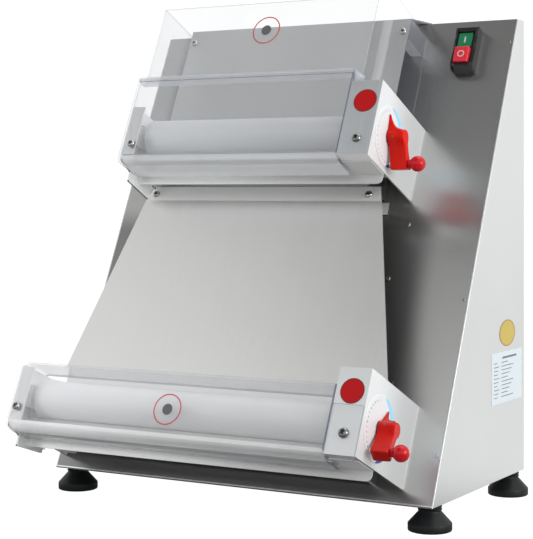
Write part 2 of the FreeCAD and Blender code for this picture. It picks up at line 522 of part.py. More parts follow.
put("roller_bearings", group(*(U.pop("upper_bearings") + L.pop("lower_bearings"))))
put("rear_scrapers", group(U.pop("upper_rear_scraper"), L.pop("lower_rear_scraper")))
put("cross_bars", group(U.pop("upper_cross_bar"), L.pop("lower_cross_bar")))
put("dial_plates", group(U.pop("upper_dial_plate"), L.pop("lower_dial_plate")))
# each ball screws onto its pin: they are one piece on the bench
for nm, D in (("upper", U), ("lower", L)):
    D[nm + "_index_knob"] = fuse(D.pop(nm + "_index_pin"), D.pop(nm + "_lever_ball"))
for D in (U, L):
    for k, shp in D.items():
        put(k, shp)

# ---------------------------------------------------------------- drive inside the cabinet (world axes)
def to_world(s, n):
    return (s * sp - n * cp, s * cp + n * sp)


UY, UZ = to_world(SU, REAR_N)          # upper rear shaft
LY, LZ = to_world(SL, REAR_N)          # lower rear shaft
MY, MZ = 196.0, 84.0                   # gearmotor output shaft
JY, JZ = 232.0, UZ                     # jackshaft behind the upper unit
XPU = UPPER["xf"] - 12.2               # middle of the upper rear pulley
XPL = LOWER["xf"] - 12.2               # middle of the lower rear pulley
XJ = XPU - 22.0                        # middle of the belt between motor and jackshaft


def pulley(xm, y, z, bore=7.0):
    p = fuse(cylx(xm - 7.2, xm - 5.3, y, z, 17.0), cylx(xm - 5.6, xm + 5.6, y, z, 14.0), cylx(xm + 5.3, xm + 7.2, y, z, 17.0))
    return p.cut(cylx(xm - 20, xm + 20, y, z, bore))


def belt(xm, p, q, r=14.35, t=2.4, w=9.6):
    (y0, z0), (y1, z1) = p, q
    a = atan2(z1 - z0, y1 - y0)
    L_ = hypot(y1 - y0, z1 - z0)

    def loop(rr):
        e1 = Part.LineSegment(V(xm - w / 2, 0, -rr), V(xm - w / 2, L_, -rr)).toShape()
        e2 = Part.Arc(V(xm - w / 2, L_, -rr), V(xm - w / 2, L_ + rr, 0), V(xm - w / 2, L_, rr)).toShape()
        e3 = Part.LineSegment(V(xm - w / 2, L_, rr), V(xm - w / 2, 0, rr)).toShape()
        e4 = Part.Arc(V(xm - w / 2, 0, rr), V(xm - w / 2, -rr, 0), V(xm - w / 2, 0, -rr)).toShape()
        return Part.Face(Part.Wire([e1, e2, e3, e4])).extrude(V(w, 0, 0))
    b = loop(r + t).cut(loop(r))
    b.rotate(V(0, 0, 0), V(1, 0, 0), degrees(a))
    b.translate(V(0, y0, z0))
    return b


put("drive_belts", group(belt(XPU, (UY, UZ), (JY, JZ)), belt(XPL, (LY, LZ), (MY, MZ)), belt(XJ, (MY, MZ), (JY, JZ))), False)
put("jackshaft", fuse(cylx(XJ - 26.0, XPU + 12.0, JY, JZ, 7.0), pulley(XJ, JY, JZ, 6.9), pulley(XPU, JY, JZ, 6.9)), False)

# U-shaped bracket that carries the jackshaft off the rear panel
jb_a = box(XJ - 24.0, XJ - 20.0, JY - 16, CAB_DEPTH - SHEET - 0.1, JZ - 20, JZ + 20)
jb_b = box(XPU + 9.0, XPU + 13.0 - 0.0, JY - 16, CAB_DEPTH - SHEET - 0.1, JZ - 20, JZ + 20)
jb_w = box(XJ - 24.0, XPU + 13.0, CAB_DEPTH - SHEET - 3.1, CAB_DEPTH - SHEET - 0.1, JZ - 20, JZ + 20)
jb = fuse(jb_a, jb_b, jb_w).cut(cylx(XJ - 40, XPU + 30, JY, JZ, 7.06))
put("jackshaft_bracket", jb, False)

# gearmotor: finned motor, gearbox and mounting feet, standing on the base plate
gx1 = XJ - 14.0                        # output face of the gearbox
gb = box(gx1 - 62.0, gx1, MY - 46.0, MY + 46.0, MZ - 46.0, MZ + 46.0)
gb = gb.makeFillet(8.0, [e for e in gb.Edges if e.BoundBox.XLength > 50])
mot = cylx(gx1 - 212.0, gx1 - 61.9, MY, MZ + 4.0, 52.0)
cowl = cylx(gx1 - 236.0, gx1 - 211.9, MY, MZ + 4.0, 55.0).cut(cylx(gx1 - 240.0, gx1 - 230.0, MY, MZ + 4.0, 42.0))
fins = []
for i in range(20):
    a = radians(18 * i + 9)
    f_ = box(gx1 - 206.0, gx1 - 70.0, MY - 1.2, MY + 1.2, MZ + 4.0 + 50.0, MZ + 4.0 + 57.0)
    f_.rotate(V(0, MY, MZ + 4.0), V(1, 0, 0), degrees(a))
    fins.append(f_)
tbox = box(gx1 - 160.0, gx1 - 100.0, MY - 24.0, MY + 24.0, MZ + 50.0, MZ + 78.0)
legs = [box(gx1 - 150.0, gx1 - 90.0, MY + sg * 30 - 8, MY + sg * 30 + 8, SHEET + 6.0, MZ - 20.0) for sg in (-1, 1)]
gleg = box(gx1 - 62.0, gx1, MY - 40.0, MY + 40.0, SHEET + 6.0, MZ - 40.0)
ped = box(gx1 - 170.0, gx1 + 0.0, MY - 60.0, MY + 60.0, SHEET + 0.02, SHEET + 6.02)
gm = fuse(gb, mot, cowl, tbox, gleg, ped, *(fins + legs))
gm = gm.cut(cylx(gx1 - 50.0, gx1 + 5.0, MY, MZ, 7.06))
put("gearmotor", gm, False)
put("motor_shaft", cylx(gx1 - 48.0, XPL + 12.0, MY, MZ, 7.0), False)
put("motor_pulleys", group(pulley(XJ, MY, MZ), pulley(XPL, MY, MZ)), False)

# ---------------------------------------------------------------- switch
RED_S, GRN_S = 567.5, 590.5     # middles of the two buttons, up the slope
BX = SW_X - 1.6                # the buttons sit a little left of the middle
hw = SW_W / 2
sw_body = box(SW_X - hw + 1.0, SW_X + hw, 549.0, 607.0, 0.0, 9.5)
# raised wavy side rails and the chin
rail_pts = [(549.0, 0.0), (607.0, 0.0), (607.0, 12.6), (601.0, 13.6), (593.0, 12.0), (584.0, 13.0), (576.0, 11.6), (566.0, 13.0), (556.0, 13.8), (549.0, 11.0)]
rail_a = prism_x(rail_pts, SW_X - hw + 1.0, SW_X - hw + 3.4)
rail_b = prism_x(rail_pts, SW_X + hw - 3.4, SW_X + hw)
cm = [(542.6, 0.0), (556.4, 0.0), (556.4, 13.2), (551.0, 14.4), (543.4, 10.0)]
chin = loft_x([(SW_X - hw + 2.0, [(548.6, 0.0), (556.4, 0.0), (556.4, 12.6), (553.0, 13.6), (549.2, 10.5)]), (SW_X - hw + 7.0, cm)])
chin2 = prism_x(cm, SW_X - hw + 7.0, SW_X + hw - 5.0)
chin3 = loft_x([(SW_X + hw - 5.0, cm), (SW_X + hw - 0.4, [(546.6, 0.0), (556.4, 0.0), (556.4, 12.6), (553.0, 13.6), (547.2, 10.5)])])
top_bar = box(SW_X - hw + 1.0, SW_X + hw, 601.4, 607.0, 0, 12.4)
sw_in = box(SW_X - 13.0, SW_X + 13.0, SW_S - 22.0, SW_S + 22.0, -24.0, 0.05)
sw = fuse(sw_body, rail_a, rail_b, chin, chin2, chin3, top_bar, sw_in)
gw = box(BX - 9.5, BX + 9.9, GRN_S - 10.2, GRN_S + 10.2, 3.0, 40.0)
rw_ = box(BX - 9.5, BX + 10.4, RED_S - 10.9, RED_S + 10.9, 3.0, 40.0)
sw = sw.cut(gw).cut(rw_)
put("switch_body", sw)
gbn = box(BX - 9.2, BX + 9.6, GRN_S - 9.9, GRN_S + 9.9, 6.3, 11.0)
gbn = gbn.makeFillet(0.9, [e for e in gbn.Edges if e.BoundBox.ZMin > 10.9])
put("start_button", gbn)
rbn = box(BX - 9.2, BX + 10.1, RED_S - 10.6, RED_S + 10.6, 6.9, 16.6)
rbn = rbn.makeFillet(1.4, [e for e in rbn.Edges if e.BoundBox.ZMin > 16.5 or e.BoundBox.ZLength > 5])
put("stop_button", rbn)

# ---------------------------------------------------------------- cord inlet gland (bushed hole in the rear panel)
gl = fuse(cyl((GLAND[0], CAB_DEPTH - 12.0, GLAND[1]), "y", 8.0, 22.0), cyl((GLAND[0], CAB_DEPTH, GLAND[1]), "y", 11.5, 4.0),
          cyl((GLAND[0], CAB_DEPTH - 7.0, GLAND[1]), "y", 11.0, 4.9))
gl = gl.fuse(cyl((GLAND[0], CAB_DEPTH + 3.9, GLAND[1]), "y", 9.6, 8.0)).removeSplitter()
gl = gl.cut(cyl((GLAND[0], CAB_DEPTH - 20.0, GLAND[1]), "y", 4.0, 50.0))
put("cord_gland", gl, False)


# wiring loom: gland and switch down to the terminal box
def tube(pts, r, f):
    edges, prev = [], V(*pts[0])
    for i in range(1, len(pts) - 1):
        a, b, c = V(*pts[i - 1]), V(*pts[i]), V(*pts[i + 1])
        u1, u2 = (a - b).normalize(), (c - b).normalize()
        ang = u1.getAngle(u2)
        l1, l2 = (a - b).Length, (c - b).Length
        rad = f * min(l1, l2) * tan(ang / 2)
        d = rad / tan(ang / 2)
        p1, p2 = b + u1 * d, b + u2 * d
        bis = (u1 + u2).normalize()
        cen = b + bis * (rad / sin(ang / 2))
        mid = cen - bis * rad
        edges.append(Part.LineSegment(prev, p1).toShape())
        edges.append(Part.Arc(p1, mid, p2).toShape())
        prev = p2
    edges.append(Part.LineSegment(prev, V(*pts[-1])).toShape())
    w = Part.Wire(edges)
    d0 = (V(*pts[1]) - V(*pts[0])).normalize()
    c = Part.Wire([Part.Circle(V(*pts[0]), d0, r).toShape()])
    return w.makePipeShell([c], True, False)


swy, swz = to_world(SW_S - 8.0, -24.0)
tb = (gx1 - 130.0, MY, MZ + 78.0)
loom1 = tube([(SW_X, swy, swz), (SW_X, swy + 6.0 * cp, swz - 6.0 * sp), (214.0, 262.0, 470.0), (218.0, 262.0, 330.0), (190.0, 262.0, 230.0), (60.0, 245.0, 215.0),
              (tb[0], tb[1], tb[2] + 34.0), (tb[0], tb[1], tb[2] + 0.0)], 3.5, 0.4)
loom2 = tube([(GLAND[0], CAB_DEPTH - 20.0, GLAND[1]), (GLAND[0], CAB_DEPTH - 32.0, GLAND[1]), (GLAND[0] + 14.0, CAB_DEPTH - 30.0, 120.0),
              (204.0, 262.0, 240.0)], 3.5, 0.4)
loom = fuse(loom1, loom2, box(188.0, 214.0, 255.0, 269.0, 232.0, 262.0))
put("wiring_loom", loom, False)

# ---------------------------------------------------------------- fasteners (identical screws share a node)
us = []
for u in (UPPER, LOWER):
    us.append(screw(u["sx"], u["s0"] + u["ss"], UNIT_D, 4.2, 3.0, 9.0, 2.0))
for u in (UPPER, LOWER):
    us.append(screw(u["xl"] + 10.5, u["s0"] + 24.5, UNIT_D, 3.8, 2.4, 8.0, 2.0))
put("unit_screws", group(*us))
ps = [screw(x, s, FP_N, 3.6, 2.0, 6.0, 2.0) for x, s in fp_screws]
for x, s in ch_screws:
    q = screw(0.0, 0.0, 0.0, 3.6, 2.0, 6.0, 1.9)
    if s > 352.0:
        q.rotate(V(0, 0, 0), V(1, 0, 0), -degrees(BEND))
    q.translate(V(x, s, bent_n(s) + 0.02))
    ps.append(q)
put("plate_screws", group(*ps))
rs_ = []
for x, z in rear_screw_at:
    h = cyl((x, CAB_DEPTH, z), "y", 3.6, 2.0)
    sh = cyl((x, CAB_DEPTH - 5.0, z), "y", 2.0, 5.01)
    rs_.append(h.fuse(sh).removeSplitter().cut(box(x - 2, x + 2, CAB_DEPTH + 1.2, CAB_DEPTH + 5, z - 0.4, z + 0.4)))
put("panel_screws", group(*([slope(screw(x, s, 0.0, 3.0, 1.2, 5.0, 1.7) if i < 2 else screw(x, s, 0.0, 2.0, 0.8, 4.0, 1.1)) for i, (x, s) in enumerate(panel_screw_at)] + rs_)), False)

# ---------------------------------------------------------------- feet: flared pad moulded on a threaded stud
for nm, (x, y) in foot_at.items():
    prof = [(0, -FOOT_H), (FOOT_R - 1.0, -FOOT_H), (FOOT_R, -FOOT_H + 1.0), (FOOT_R, -FOOT_H + 5.5), (FOOT_R - 1.4, -FOOT_H + 7.5), (19.5, -FOOT_H + 10.5),
            (15.6, -FOOT_H + 13.0), (13.6, -FOOT_H + 16.0), (13.0, -FOOT_H + 19.0), (13.0, -1.6), (12.2, -0.8), (4.0, -0.8), (4.0, 22.0), (0, 22.0)]
    w = Part.makePolygon([V(r, 0, z) for r, z in prof] + [V(prof[0][0], 0, prof[0][1])])
    f = Part.Face(w).revolve(V(0, 0, 0), V(0, 0, 1), 360)
    f = Part.Solid(f) if f.ShapeType != "Solid" else f
    f.translate(V(x, y, 0))
    put("foot_" + nm, f, False)

# ---------------------------------------------------------------- write
if __name__ == "__main__":
    allb = None
    for name, sh in parts.items():
        sh.exportStep("parts/%s.step" % name)
        b = sh.BoundBox
        n = len(sh.Solids)
        bad = [i for i, q in enumerate(sh.Solids) if not q.isValid()]
        print("%-24s solids %2d vol %10.0f  x %7.1f %7.1f  y %7.1f %7.1f  z %7.1f %7.1f %s" % (
            name, n, sh.Volume, b.XMin, b.XMax, b.YMin, b.YMax, b.ZMin, b.ZMax, ("BAD %s" % bad) if bad or n == 0 else ""))
        if allb is None:
            allb = FreeCAD.BoundBox(b)
        else:
            allb.add(b)
    print("nodes", len(parts))
    print("ALL x %.3f %.3f y %.3f %.3f z %.3f %.3f" % (allb.XMin, allb.XMax, allb.YMin, allb.YMax, allb.ZMin, allb.ZMax))
    for k, v in (("upper axis S", SU), ("upper front n", NU), ("lower axis S", SL), ("lower front n", NL)):
        print(k, v)
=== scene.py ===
import bpy, bmesh, math
from math import sin, cos, tan, pi, radians, degrees, hypot, atan2
from mathutils import Vector, Matrix

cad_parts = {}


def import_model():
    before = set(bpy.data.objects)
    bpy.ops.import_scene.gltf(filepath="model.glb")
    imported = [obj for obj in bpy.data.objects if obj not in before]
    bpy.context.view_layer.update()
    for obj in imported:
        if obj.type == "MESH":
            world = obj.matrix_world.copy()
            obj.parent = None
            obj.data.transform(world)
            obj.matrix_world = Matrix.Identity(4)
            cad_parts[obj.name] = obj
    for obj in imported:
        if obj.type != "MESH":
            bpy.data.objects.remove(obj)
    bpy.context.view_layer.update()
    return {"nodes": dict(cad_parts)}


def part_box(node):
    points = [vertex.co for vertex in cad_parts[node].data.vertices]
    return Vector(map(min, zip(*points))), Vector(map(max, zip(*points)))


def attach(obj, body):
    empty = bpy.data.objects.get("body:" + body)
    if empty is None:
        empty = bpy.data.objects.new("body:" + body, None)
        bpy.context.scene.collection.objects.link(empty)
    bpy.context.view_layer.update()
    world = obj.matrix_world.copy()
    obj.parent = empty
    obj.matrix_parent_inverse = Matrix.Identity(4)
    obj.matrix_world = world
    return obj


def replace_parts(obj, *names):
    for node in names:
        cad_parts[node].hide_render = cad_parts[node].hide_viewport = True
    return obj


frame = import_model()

N = frame["nodes"]
scene = bpy.context.scene

# ------------------------------------------------------------------ frames
MM = 0.001
PHI = radians(24.9)
sp, cp = sin(PHI), cos(PHI)
YS, ZS = -91.7225, 30.0
ES = Vector((0, sp, cp))       # up the slope
EN = Vector((0, -cp, sp))      # out of the panel


def S(x, s, n):
    """slope coordinates in mm -> row frame in metres"""
    return Vector((x * MM, (s * sp - n * cp + YS) * MM, (s * cp + n * sp + ZS) * MM))


def C(x, y, z):
    """cabinet coordinates in mm -> row frame in metres"""
    return Vector((x * MM, (y + YS) * MM, (z + ZS) * MM))


REAR_N, PIVOT_N, AXIS_S, R_ROLL = 43.5, 89.5, 43.0, 23.5
UP = dict(s0=372.0, xl=-190.0, xb=121.0, xf=162.0, ptr=22.0)
LO = dict(s0=17.5, xl=-250.0, xb=183.0, xf=221.5, ptr=-28.0)


# ------------------------------------------------------------------ node helpers
class M:
    """a procedural material around one Principled shader"""

    def __init__(self, name, base=(0.5, 0.5, 0.5), metallic=0.0, rough=0.5, **kw):
        self.m = bpy.data.materials.new(name)
        self.m.use_nodes = True
        self.nt = self.m.node_tree
        self.b = self.nt.nodes["Principled BSDF"]
        self.set("Base Color", tuple(base) + (1.0,))
        self.set("Metallic", metallic)
        self.set("Roughness", rough)
        for k, v in kw.items():
            self.set(k.replace("_", " "), v)
        self.base, self.rough = base, rough

    def set(self, sock, val):
        self.b.inputs[sock].default_value = val

    def node(self, kind, **props):
        n = self.nt.nodes.new(kind)
        for k, v in props.items():
            setattr(n, k, v)
        return n

    def link(self, a, b):
        self.nt.links.new(a, b)

    def coord(self, scale=(1, 1, 1), rot=(0, 0, 0), loc=(0, 0, 0)):
        tc = self.node("ShaderNodeTexCoord")
        mp = self.node("ShaderNodeMapping")
        mp.inputs["Scale"].default_value = scale
        mp.inputs["Rotation"].default_value = rot
        mp.inputs["Location"].default_value = loc
        self.link(tc.outputs["Object"], mp.inputs["Vector"])
        return mp.outputs["Vector"]

    def noise(self, vec, scale=1.0, detail=2.0, rough=0.5):
        n = self.node("ShaderNodeTexNoise")
        n.inputs["Scale"].default_value = scale
        n.inputs["Detail"].default_value = detail
        n.inputs["Roughness"].default_value = rough
        self.link(vec, n.inputs["Vector"])
        return n.outputs["Fac"]

    def ramp(self, fac, lo, hi, a=0.0, b=1.0, smooth=False):
        n = self.node("ShaderNodeMapRange")
        n.interpolation_type = "SMOOTHSTEP" if smooth else "LINEAR"
        n.inputs["From Min"].default_value = lo
        n.inputs["From Max"].default_value = hi
        n.inputs["To Min"].default_value = a
        n.inputs["To Max"].default_value = b
        self.link(fac, n.inputs["Value"])
        return n.outputs["Result"]

    def math(self, op, a, b=None):
        n = self.node("ShaderNodeMath", operation=op)
        for i, v in enumerate((a, b)):
            if v is None:
                continue
            if isinstance(v, (int, float)):
                n.inputs[i].default_value = v
            else:
                self.link(v, n.inputs[i])
        return n.outputs[0]

    def mix(self, fac, c1, c2):
        n = self.node("ShaderNodeMix", data_type="RGBA")
        if isinstance(fac, (int, float)):
            n.inputs[0].default_value = fac
        else:
            self.link(fac, n.inputs[0])
        for i, c in ((6, c1), (7, c2)):
            if isinstance(c, tuple):
                n.inputs[i].default_value = c if len(c) == 4 else c + (1.0,)
            else:
                self.link(c, n.inputs[i])
        return n.outputs[2]

    def bump(self, h, dist, strength=1.0):
        n = self.node("ShaderNodeBump")
        n.inputs["Distance"].default_value = dist
        n.inputs["Strength"].default_value = strength
        self.link(h, n.inputs["Height"])
        self.link(n.outputs["Normal"], self.b.inputs["Normal"])


def shade(c, k):
    return tuple(min(1.0, max(0.0, v * k)) for v in c)


def steel(name, base, rough, brush="x", depth=0.06, spread=0.05, line=900.0, smudge=0.04, bump=2.0e-6, painted_shade_depth=None, painted_light_shade_along_x=None, grain=None, shadow=None):
    """brushed sheet steel: long fine streaks along one axis, a faint cloudiness, and if asked painted shade darkening
    it towards the panel, painted light and shade along x, and a painted shadow strip
    """
    m = M(name, base, 1.0, rough)
    sc = {"x": (4.0, line, line), "y": (line, 4.0, line), "z": (line, line, 4.0), "s": (line, line, 4.0)}[brush]
    rot = (-(PHI), 0, 0) if brush == "s" else (0, 0, 0)
    v = m.coord(sc, (0, 0, 0)) if brush != "s" else None
    if v is None:
        v0 = m.coord((1, 1, 1), (PHI, 0, 0))
        mp = m.node("ShaderNodeMapping")
        mp.inputs["Scale"].default_value = sc
        m.link(v0, mp.inputs["Vector"])
        v = mp.outputs["Vector"]
    f = m.noise(v, 1.0, 3.0, 0.6)
    cl = m.noise(m.coord((7, 7, 7)), 1.0, 3.0, 0.5)
    k = m.math("ADD", m.math("MULTIPLY", f, 0.7), m.math("MULTIPLY", cl, 0.3))
    col = m.mix(m.ramp(k, 0.32, 0.68), shade(base, 1 - depth), shade(base, 1 + depth))
    # painted shade: the steel darkens towards the panel
    if painted_shade_depth:
        d0, d1, k0, k1_ = painted_shade_depth
        tc = m.node("ShaderNodeTexCoord")
        dn = m.node("ShaderNodeVectorMath", operation="DOT_PRODUCT")
        m.link(tc.outputs["Object"], dn.inputs[0])
        dn.inputs[1].default_value = EN
        zero = S(0, 0, 0).dot(EN)
        far = m.mix(m.ramp(k, 0.32, 0.68), shade(base, (1 - depth) * k0), shade(base, (1 + depth) * k0))
        col = m.mix(m.ramp(dn.outputs["Value"], zero + d0, zero + d1, 0.0, 1.0, True), far, col)
    # painted light and shade: the tone changes along x
    if painted_light_shade_along_x:
        x0, x1, k0, k1_ = painted_light_shade_along_x
        tc = m.node("ShaderNodeTexCoord")
        sx_ = m.node("ShaderNodeSeparateXYZ")
        m.link(tc.outputs["Object"], sx_.inputs[0])
        ca = m.mix(m.ramp(k, 0.32, 0.68), shade(base, (1 - depth) * k0), shade(base, (1 + depth) * k0))
        cb = m.mix(m.ramp(k, 0.32, 0.68), shade(base, (1 - depth) * k1_), shade(base, (1 + depth) * k1_))
        col = m.mix(m.ramp(sx_.outputs["X"], x0, x1, 0.0, 1.0, True), ca, cb)
    if shadow:                            # painted shadow strip beside the chute
        x0, x1, s0_, s1_, kk = shadow
        tc = m.node("ShaderNodeTexCoord")
        sx_ = m.node("ShaderNodeSeparateXYZ")
        m.link(tc.outputs["Object"], sx_.inputs[0])
        ds = m.node("ShaderNodeVectorMath", operation="DOT_PRODUCT")
        m.link(tc.outputs["Object"], ds.inputs[0])
        ds.inputs[1].default_value = ES
        o0 = S(0, 0, 0).dot(ES)
        fa = m.math("MULTIPLY", m.ramp(sx_.outputs["X"], x0, x1, 1.0, 0.0, True), m.ramp(ds.outputs["Value"], o0 + s0_, o0 + s1_, 1.0, 0.0, True))
        dk = m.mix(m.ramp(k, 0.32, 0.68), shade(base, (1 - depth) * kk), shade(base, (1 + depth) * kk))
        col = m.mix(fa, col, dk)
    if grain:
        amount, across = grain
        ge = m.node("ShaderNodeNewGeometry")
        cr = m.node("ShaderNodeVectorMath", operation="CROSS_PRODUCT")
        m.link(ge.outputs["Normal"], cr.inputs[0])
        cr.inputs[1].default_value = across
        m.link(cr.outputs["Vector"], m.b.inputs["Tangent"])
        m.set("Anisotropic", amount)
    m.link(col, m.b.inputs["Base Color"])
    r = m.math("ADD", m.ramp(f, 0.3, 0.7, rough - spread, rough + spread), m.ramp(cl, 0.3, 0.7, -smudge, smudge))
    m.link(r, m.b.inputs["Roughness"])
    if bump:
        m.bump(f, bump, 1.0)
    return m.m


def plastic(name, base, rough, var=0.06, grain=0.0, scale=900.0, painted_light_shade_along_x=None, **kw):
    m = M(name, base, 0.0, rough, **kw)
    cl = m.noise(m.coord((11, 11, 11)), 1.0, 3.0, 0.55)
    col = m.mix(m.ramp(cl, 0.3, 0.7), shade(base, 1 - var), shade(base, 1 + var))
    # painted light and shade: the tone changes along x
    if painted_light_shade_along_x:
        x0, x1, k0, k1_ = painted_light_shade_along_x
        tc = m.node("ShaderNodeTexCoord")
        sx_ = m.node("ShaderNodeSeparateXYZ")
        m.link(tc.outputs["Object"], sx_.inputs[0])
        ca = m.mix(m.ramp(cl, 0.3, 0.7), shade(base, (1 - var) * k0), shade(base, (1 + var) * k0))
        cb = m.mix(m.ramp(cl, 0.3, 0.7), shade(base, (1 - var) * k1_), shade(base, (1 + var) * k1_))
        col = m.mix(m.ramp(sx_.outputs["X"], x0, x1, 0.0, 1.0, True), ca, cb)
    m.link(col, m.b.inputs["Base Color"])
    f = m.noise(m.coord((scale, scale, scale)), 1.0, 2.0, 0.5)
    m.link(m.ramp(f, 0.3, 0.7, max(0.02, rough - 0.05), rough + 0.06), m.b.inputs["Roughness"])
    if grain:
        m.bump(f, grain, 1.0)
    return m.m


# ------------------------------------------------------------------ materials
mat = {}
# painted shadow: the panel's tone darkens in a strip beside the chute
mat["panel"] = steel("panel_brushed", (0.55, 0.555, 0.545), 0.26, "x", 0.006, 0.0, 3000.0, bump=0.0, smudge=0.0, grain=(0.85, ES), shadow=(0.177, 0.214, 0.325, 0.365, 0.50))
mat["side"] = steel("side_brushed", (0.74, 0.755, 0.75), 0.34, "z", 0.02, 0.02, 700.0, bump=2.0e-7)
mat["case"] = steel("case_satin", (0.80, 0.82, 0.83), 0.34, "s", 0.02, 0.04, 900.0)
mat["case"].node_tree.nodes["Principled BSDF"].inputs["Metallic"].default_value = 0.88
# the upper gear case takes a darker copy of the case steel: painted shade
mat["case_up"] = steel("case_up_painted_shade", (0.68, 0.705, 0.725), 0.36, "s", 0.02, 0.04, 900.0)
mat["case_up"].node_tree.nodes["Principled BSDF"].inputs["Metallic"].default_value = 0.9
# the chute's bent top strip takes a lighter, less metallic copy of the chute steel (painted light against the upper
# unit's shadow) that darkens along x (painted shade)
mat["sheet_top"] = steel("sheet_top_painted_light", (0.86, 0.865, 0.85), 0.5, "x", 0.03, 0.04, 900.0, bump=5.0e-7, painted_light_shade_along_x=(0.0, 0.12, 1.0, 0.82))
mat["sheet_top"].node_tree.nodes["Principled BSDF"].inputs["Metallic"].default_value = 0.35
# the gear cases' side faces take a less metallic copy of the case steel so they read brighter (painted light), with
# painted shade darkening them towards the panel
mat["case_side"] = steel("case_side_painted_light_shade", (0.70, 0.72, 0.725), 0.52, "s", 0.02, 0.04, 900.0, painted_shade_depth=(0.030, 0.112, 0.74, 1.0))
mat["case_side"].node_tree.nodes["Principled BSDF"].inputs["Metallic"].default_value = 0.30
# painted light: the cross bars' tone is lighter towards the left end along x
mat["cross"] = steel("cross_bar_satin", (0.62, 0.625, 0.62), 0.36, "x", 0.02, 0.02, 2000.0, bump=0.0, painted_light_shade_along_x=(-0.10, 0.16, 1.6, 1.05))
mat["cross"].node_tree.nodes["Principled BSDF"].inputs["Metallic"].default_value = 0.5
# a pale, non-metallic copy of the bracket steel for faces that sit in shade: painted light
mat["bracket_in"] = steel("bracket_inner_painted_light", (0.95, 0.955, 0.96), 0.55, "s", 0.02, 0.04, 900.0)
mat["bracket_in"].node_tree.nodes["Principled BSDF"].inputs["Metallic"].default_value = 0.0
# the chute brackets' front-facing upper faces take a lighter copy of their steel: painted light
mat["bracket_tab_painted_light"] = steel("bracket_tab_painted_light", (0.86, 0.865, 0.86), 0.5, "s", 0.03, 0.04, 900.0)
mat["bracket_tab_painted_light"].node_tree.nodes["Principled BSDF"].inputs["Metallic"].default_value = 0.15
# the feed plate's +X side faces are painted dark: painted shade beside the feed plate
mat["feed_side"] = steel("feed_side_painted_shade", (0.30, 0.30, 0.33), 0.45, "s", 0.03, 0.04, 1600.0)
# the chute brackets are painted near-black so the panel beside the chute reflects them dark: painted shade
mat["bracket_painted_shade"] = steel("bracket_painted_shade", (0.15, 0.15, 0.147), 0.45, "s", 0.03, 0.05, 900.0)
# downward faces of the gear cases: a lighter diffuse copy under the upper case (painted light), a darker copy under the
# lower case (painted shade)
mat["case_under_up"] = steel("case_under_up_painted_light", (0.86, 0.865, 0.86), 0.45, "s", 0.02, 0.04, 900.0)
mat["case_under_up"].node_tree.nodes["Principled BSDF"].inputs["Metallic"].default_value = 0.25
mat["case_under"] = steel("case_under_painted_shade", (0.40, 0.405, 0.40), 0.36, "s", 0.02, 0.04, 900.0)
# painted shade: the chute steel darkens slightly along x towards the gear case
mat["sheet"] = steel("sheet_satin", (0.80, 0.805, 0.79), 0.34, "s", 0.02, 0.04, 1600.0, bump=5.0e-7, painted_light_shade_along_x=(-0.02, 0.17, 1.0, 0.93))
mat["feed"] = steel("feed_satin", (0.62, 0.625, 0.625), 0.42, "s", 0.03, 0.04, 1600.0, bump=5.0e-7)
mat["bracket"] = steel("bracket_satin", (0.84, 0.85, 0.86), 0.36, "s", 0.03, 0.05, 900.0)
mat["rear"] = steel("rear_brushed", (0.72, 0.72, 0.715), 0.34, "x", 0.04, 0.05, 700.0)
mat["base"] = steel("base_steel", (0.5, 0.5, 0.5), 0.42, "x", 0.06, 0.06, 500.0)
mat["shaft"] = steel("shaft_steel", (0.72, 0.72, 0.72), 0.25, "x", 0.04, 0.05, 1500.0)
# the gear-case screws take a darker copy of the screw steel: painted shade
mat["screw_dark"] = steel("screw_shaded_steel", (0.24, 0.24, 0.235), 0.08, "x", 0.03, 0.02, 1500.0, bump=0.0)
mat["screw"] = steel("screw_steel", (0.46, 0.455, 0.44), 0.08, "x", 0.03, 0.02, 1500.0, bump=0.0)
# the upper rollers' plastic is a darker copy of the lower ones': painted shade under the guard and hood; both carry
# painted light and shade along x
mat["roller"] = plastic("roller_plastic", (0.58, 0.595, 0.615), 0.34, 0.02, 1.0e-5, 1800.0, painted_light_shade_along_x=(-0.19, 0.12, 1.14, 0.87))
mat["roller_low"] = plastic("roller_plastic_lower", (0.70, 0.71, 0.725), 0.34, 0.02, 1.0e-5, 1800.0, painted_light_shade_along_x=(-0.25, 0.18, 1.08, 0.94))
mat["bearing"] = plastic("bearing_plastic", (0.60, 0.60, 0.59), 0.45, 0.05, 8.0e-6)
mat["blocks"] = plastic("bearing_block_plastic", (0.93, 0.94, 0.95), 0.45, 0.03, 8.0e-6)
mat["gear"] = plastic("gear_plastic", (0.80, 0.79, 0.74), 0.42, 0.05, 8.0e-6)
# the lower lever's red is a darker copy of the same moulding's red: painted shade
mat["red"] = plastic("lever_plastic", (0.60, 0.007, 0.002), 0.24, 0.06, 4.0e-6, 1400.0, Specular_IOR_Level=0.12)
mat["red_low"] = plastic("lever_plastic_low", (0.47, 0.006, 0.002), 0.24, 0.06, 4.0e-6, 1400.0, Specular_IOR_Level=0.12)
mat["ball"] = plastic("ball_plastic", (0.50, 0.003, 0.009), 0.12, 0.03, 0.0, 1400.0, Specular_IOR_Level=0.28)
mat["belt"] = plastic("belt_rubber", (0.03, 0.03, 0.032), 0.6, 0.2, 2.0e-5)
mat["motor"] = plastic("motor_paint", (0.16, 0.18, 0.20), 0.45, 0.12, 2.0e-5)
mat["black"] = plastic("black_plastic", (0.010, 0.010, 0.011), 0.30, 0.2, 1.2e-5, 1600.0)
mat["green"] = plastic("green_plastic", (0.012, 0.17, 0.070), 0.28, 0.05, 4.0e-6)
mat["stop"] = plastic("stop_plastic", (0.62, 0.025, 0.040), 0.26, 0.05, 4.0e-6)
